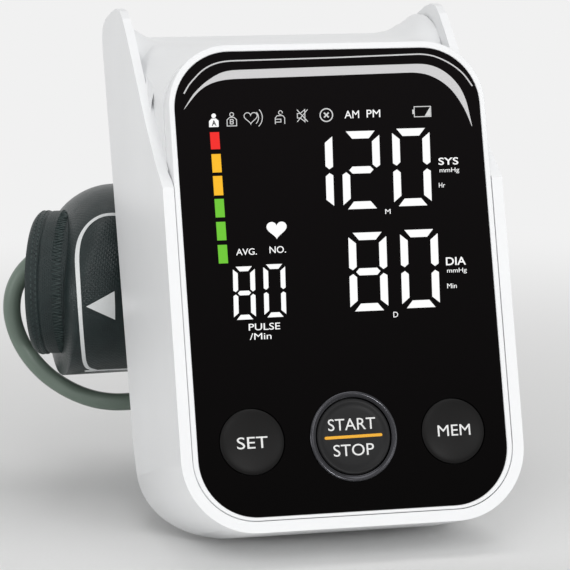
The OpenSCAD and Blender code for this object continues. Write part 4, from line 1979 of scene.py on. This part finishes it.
    def flap(self) -> None:
        """Makes the free end of the outer wrap at the back: its hem, its stitches and its pile."""
        left, right = -56, 50
        middle = [(x, self.flap_angle) for x in range(left, right, 4)]
        hem = self.ribbon(middle, self.hem, self.outer_radius, 0.6, lanes=9)
        hem.finish("flap_hem", self.palette.get("binding"), self.slot, self.body)
        below = self.flap_angle + math.degrees((self.hem + self.pile) / 2 / self.outer_r)
        strip = [(x, below) for x in range(left + 10, right - 8, 4)]
        pile = self.ribbon(strip, self.pile, self.outer_radius, 0.35, lanes=25)
        pile.finish("loop_pile", self.palette.get("pile"), self.slot, self.body)
        stitches = Solid()
        for side in (-1, 1):
            angle = self.flap_angle + side * math.degrees((self.hem / 2 - 1.2) / self.outer_r)
            for x in range(left + 1, right - 4, 2):
                line = [(x, angle), (x + 1.3, angle)]
                stitches.extend(self.ribbon(line, 0.4, self.outer_radius, 0.75, lanes=2))
        thread = self.palette.get("thread")
        stitches.finish("flap_stitches", thread, self.slot, self.body, smooth=False)

    def build(self) -> None:
        """Makes the wraps, the bladder, the seams and the print."""
        inner = self.torus(self.inner_section, "inner_wrap", "binding")
        outer = self.torus(self.outer_section, "outer_wrap", "nylon")
        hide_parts("cuff_cover")
        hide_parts("cuff_cover")
        bladder = self.torus(self.bladder_section, "flat_bladder", "bladder")
        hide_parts("cuff_bladder")
        ink = self.palette.get("cuff_ink")
        frame = self.ribbon(self.print_line(), 1.24, self.outer_radius, 0.12, closed=True)
        frame.finish("printed_frame", ink, self.slot, self.body, smooth=False)
        self.arrow().finish("printed_arrow", ink, self.slot, self.body, smooth=False)
        thread = self.palette.get("thread")
        self.seam().finish("zigzag_seam", thread, self.slot, self.body, smooth=False)
        self.edge_stitches().finish("binding_stitches", thread, self.slot, self.body, smooth=False)
        self.flap()


# ---------------------------------------------------------------------------
# Hose
# ---------------------------------------------------------------------------


@dataclass
class Hose:
    """The air hose: one smooth loop from the plug in the stand into the cuff's end."""

    frame: dict
    palette: Palette
    diameter_m: float = 0.006
    # the route of the hose, in metres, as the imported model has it
    route: tuple[Point3, ...] = (
        (-0.0430, 0.0760, 0.0290),
        (-0.0490, 0.0762, 0.0291),
        (-0.0548, 0.0774, 0.0299),
        (-0.0604, 0.0800, 0.0316),
        (-0.0659, 0.0834, 0.0344),
        (-0.0713, 0.0861, 0.0386),
        (-0.0763, 0.0878, 0.0446),
        (-0.0800, 0.0884, 0.0518),
        (-0.0819, 0.0880, 0.0596),
        (-0.0813, 0.0870, 0.0672),
        (-0.0781, 0.0856, 0.0738),
        (-0.0726, 0.0843, 0.0789),
        (-0.0658, 0.0834, 0.0820),
        (-0.0588, 0.0830, 0.0830),
        (-0.0520, 0.0830, 0.0830),
    )

    def build(self) -> None:
        line = smooth_line(self.route, 6)
        curve = bpy.data.curves.new("rubber_hose", "CURVE")
        curve.dimensions = "3D"
        curve.bevel_depth = self.diameter_m / 2
        curve.bevel_resolution = 6
        curve.use_fill_caps = True
        spline = curve.splines.new("POLY")
        spline.points.add(len(line) - 1)
        for point, place in zip(spline.points, line):
            point.co = (*place, 1.0)
        spline.use_smooth = True
        curve.materials.append(self.palette.get("hose"))
        hose = bpy.data.objects.new("rubber_hose", curve)
        bpy.context.scene.collection.objects.link(hose)
        length = sum((b - a).length for a, b in zip(line, line[1:]))
        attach(hose, "cuff_set")
        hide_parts("air_hose")
        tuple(self.route[0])
        log.info("rubber_hose: %.1f mm long", length / MM)


# ---------------------------------------------------------------------------
# Studio
# ---------------------------------------------------------------------------


@dataclass(frozen=True)
class Lamp:
    """A soft box of the studio."""

    name: str
    at: Point3
    aim: Point3
    size: float
    watts: float

    def build(self) -> None:
        """Hangs the lamp and turns it to its aim."""
        light = bpy.data.lights.new(self.name, "AREA")
        light.size = self.size
        light.energy = self.watts
        lamp = bpy.data.objects.new(self.name, light)
        lamp.location = self.at
        way = Vector(self.aim) - Vector(self.at)
        lamp.rotation_euler = way.to_track_quat("-Z", "Y").to_euler()
        bpy.context.scene.collection.objects.link(lamp)


@dataclass
class Studio:
    """A pale floor, soft boxes, an even pale surround and the camera of the photograph."""

    camera_at: Point3 = (-0.25175, -0.91322, 0.21699)
    camera_aim: Point3 = (-0.01826, -0.03500, 0.08385)
    roll: float = -0.157
    focal: float = 189.5
    sensor: float = 36.0
    backdrop: str = "#F1F1F1"
    ambient: float = 0.45
    lamps: tuple[Lamp, ...] = (
        Lamp("key", (-0.3, -1.0, 0.85), (0.0, 0.0, 0.08), 0.5, 2.2),
        Lamp("front", (0.1, -1.4, 0.07), (0.0, 0.0, 0.06), 0.2, 4.4),
        Lamp("fill", (0.55, -0.8, 0.2), (0.03, 0.0, 0.06), 0.3, 0.9),
        Lamp("side", (-1.15, -0.4, 0.08), (-0.05, 0.03, 0.04), 0.5, 3.2),
        Lamp("top", (0.1, -0.05, 1.2), (0.0, 0.0, 0.05), 0.9, 3.6),
    )

    def camera(self) -> None:
        """Sets the camera where the photograph was taken from."""
        data = bpy.data.cameras.new("camera")
        data.lens = self.focal
        data.sensor_width = self.sensor
        data.clip_start = 0.01
        camera = bpy.data.objects.new("camera", data)
        bpy.context.scene.collection.objects.link(camera)
        at = Vector(self.camera_at)
        ahead = (Vector(self.camera_aim) - at).normalized()
        level = ahead.cross(Vector((0, 0, 1))).normalized()
        upright = level.cross(ahead)
        turn = math.radians(self.roll)
        right = level * math.cos(turn) + upright * math.sin(turn)
        up = upright * math.cos(turn) - level * math.sin(turn)
        rotation = Matrix((right, up, -ahead)).transposed().to_4x4()
        camera.matrix_world = Matrix.Translation(at) @ rotation
        bpy.context.scene.camera = camera

    def surround(self) -> None:
        """Lights the object evenly and shows a pale backdrop."""
        world = bpy.data.worlds.new("surround")
        bpy.context.scene.world = world
        world.use_nodes = True
        tree = world.node_tree
        tree.nodes.clear()
        rays = add_node(tree, "ShaderNodeLightPath")
        seen = rays.outputs["Is Camera Ray"]
        for kind in ("Is Glossy Ray", "Is Transmission Ray"):
            either = {0: seen, 1: rays.outputs[kind]}
            seen = add_node(tree, "ShaderNodeMath", {"operation": "MAXIMUM"}, either).outputs[0]
        even, shown = (
            add_node(
                tree,
                "ShaderNodeBackground",
                inputs={"Color": linear(colour), "Strength": strength},
            ).outputs[0]
            for colour, strength in (("#FFFFFF", self.ambient), (self.backdrop, 1.0))
        )
        mix = add_node(tree, "ShaderNodeMixShader", inputs={0: seen, 1: even, 2: shown})
        add_node(tree, "ShaderNodeOutputWorld", inputs={"Surface": mix.outputs[0]})

    def floor(self) -> None:
        """Lays the pale floor that keeps the object's shadow."""
        half_m = 3.0
        corners = [(-half_m, -half_m), (half_m, -half_m), (half_m, half_m), (-half_m, half_m)]
        mesh = bpy.data.meshes.new("floor")
        mesh.from_pydata([(x, y, 0.0) for x, y in corners], [], [(0, 1, 2, 3)])
        shading = Shading("pale_paper")
        place = shading.place()
        grain = {"Vector": place, "Scale": 900.0, "Detail": 2.0}
        tooth = shading.add("ShaderNodeTexNoise", grain).outputs["Fac"]
        paper = shading.add(
            "ShaderNodeBsdfPrincipled",
            {
                "Base Color": shading.blend(tooth, "#F0F0EF", "#F5F5F5"),
                "Roughness": 0.9,
                "Specular IOR Level": 0.1,
            },
        )
        # far from the object the paper runs into the backdrop without an edge
        reach = shading.add("ShaderNodeVectorMath", {0: place}, operation="LENGTH")
        far = shading.add(
            "ShaderNodeMapRange",
            {"Value": reach.outputs["Value"], "From Min": 0.16, "From Max": 0.75},
            interpolation_type="SMOOTHSTEP",
        )
        glow = shading.add(
            "ShaderNodeEmission", {"Color": linear(self.backdrop), "Strength": 1.0}
        )
        edge = {0: far.outputs["Result"], 1: paper.outputs[0], 2: glow.outputs[0]}
        mesh.materials.append(shading.close(shading.add("ShaderNodeMixShader", edge)))
        floor = bpy.data.objects.new("floor", mesh)
        bpy.context.scene.collection.objects.link(floor)

    def build(self) -> None:
        """Sets the stage and its lights."""
        self.surround()
        self.floor()
        for lamp in self.lamps:
            lamp.build()
        bpy.context.scene.view_settings.view_transform = "Standard"


def main() -> None:
    """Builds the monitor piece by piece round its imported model."""
    logging.basicConfig(level=logging.INFO, format="%(message)s")
    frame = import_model()
    palette = Palette()
    studio = Studio()
    studio.camera()
    Hose(frame, palette).build()
    Casing(frame, palette).build()
    Display(palette).build()
    ButtonRow(palette).build()
    Cuff(palette).build()
    studio.build()


if __name__ == "__main__":
    main()
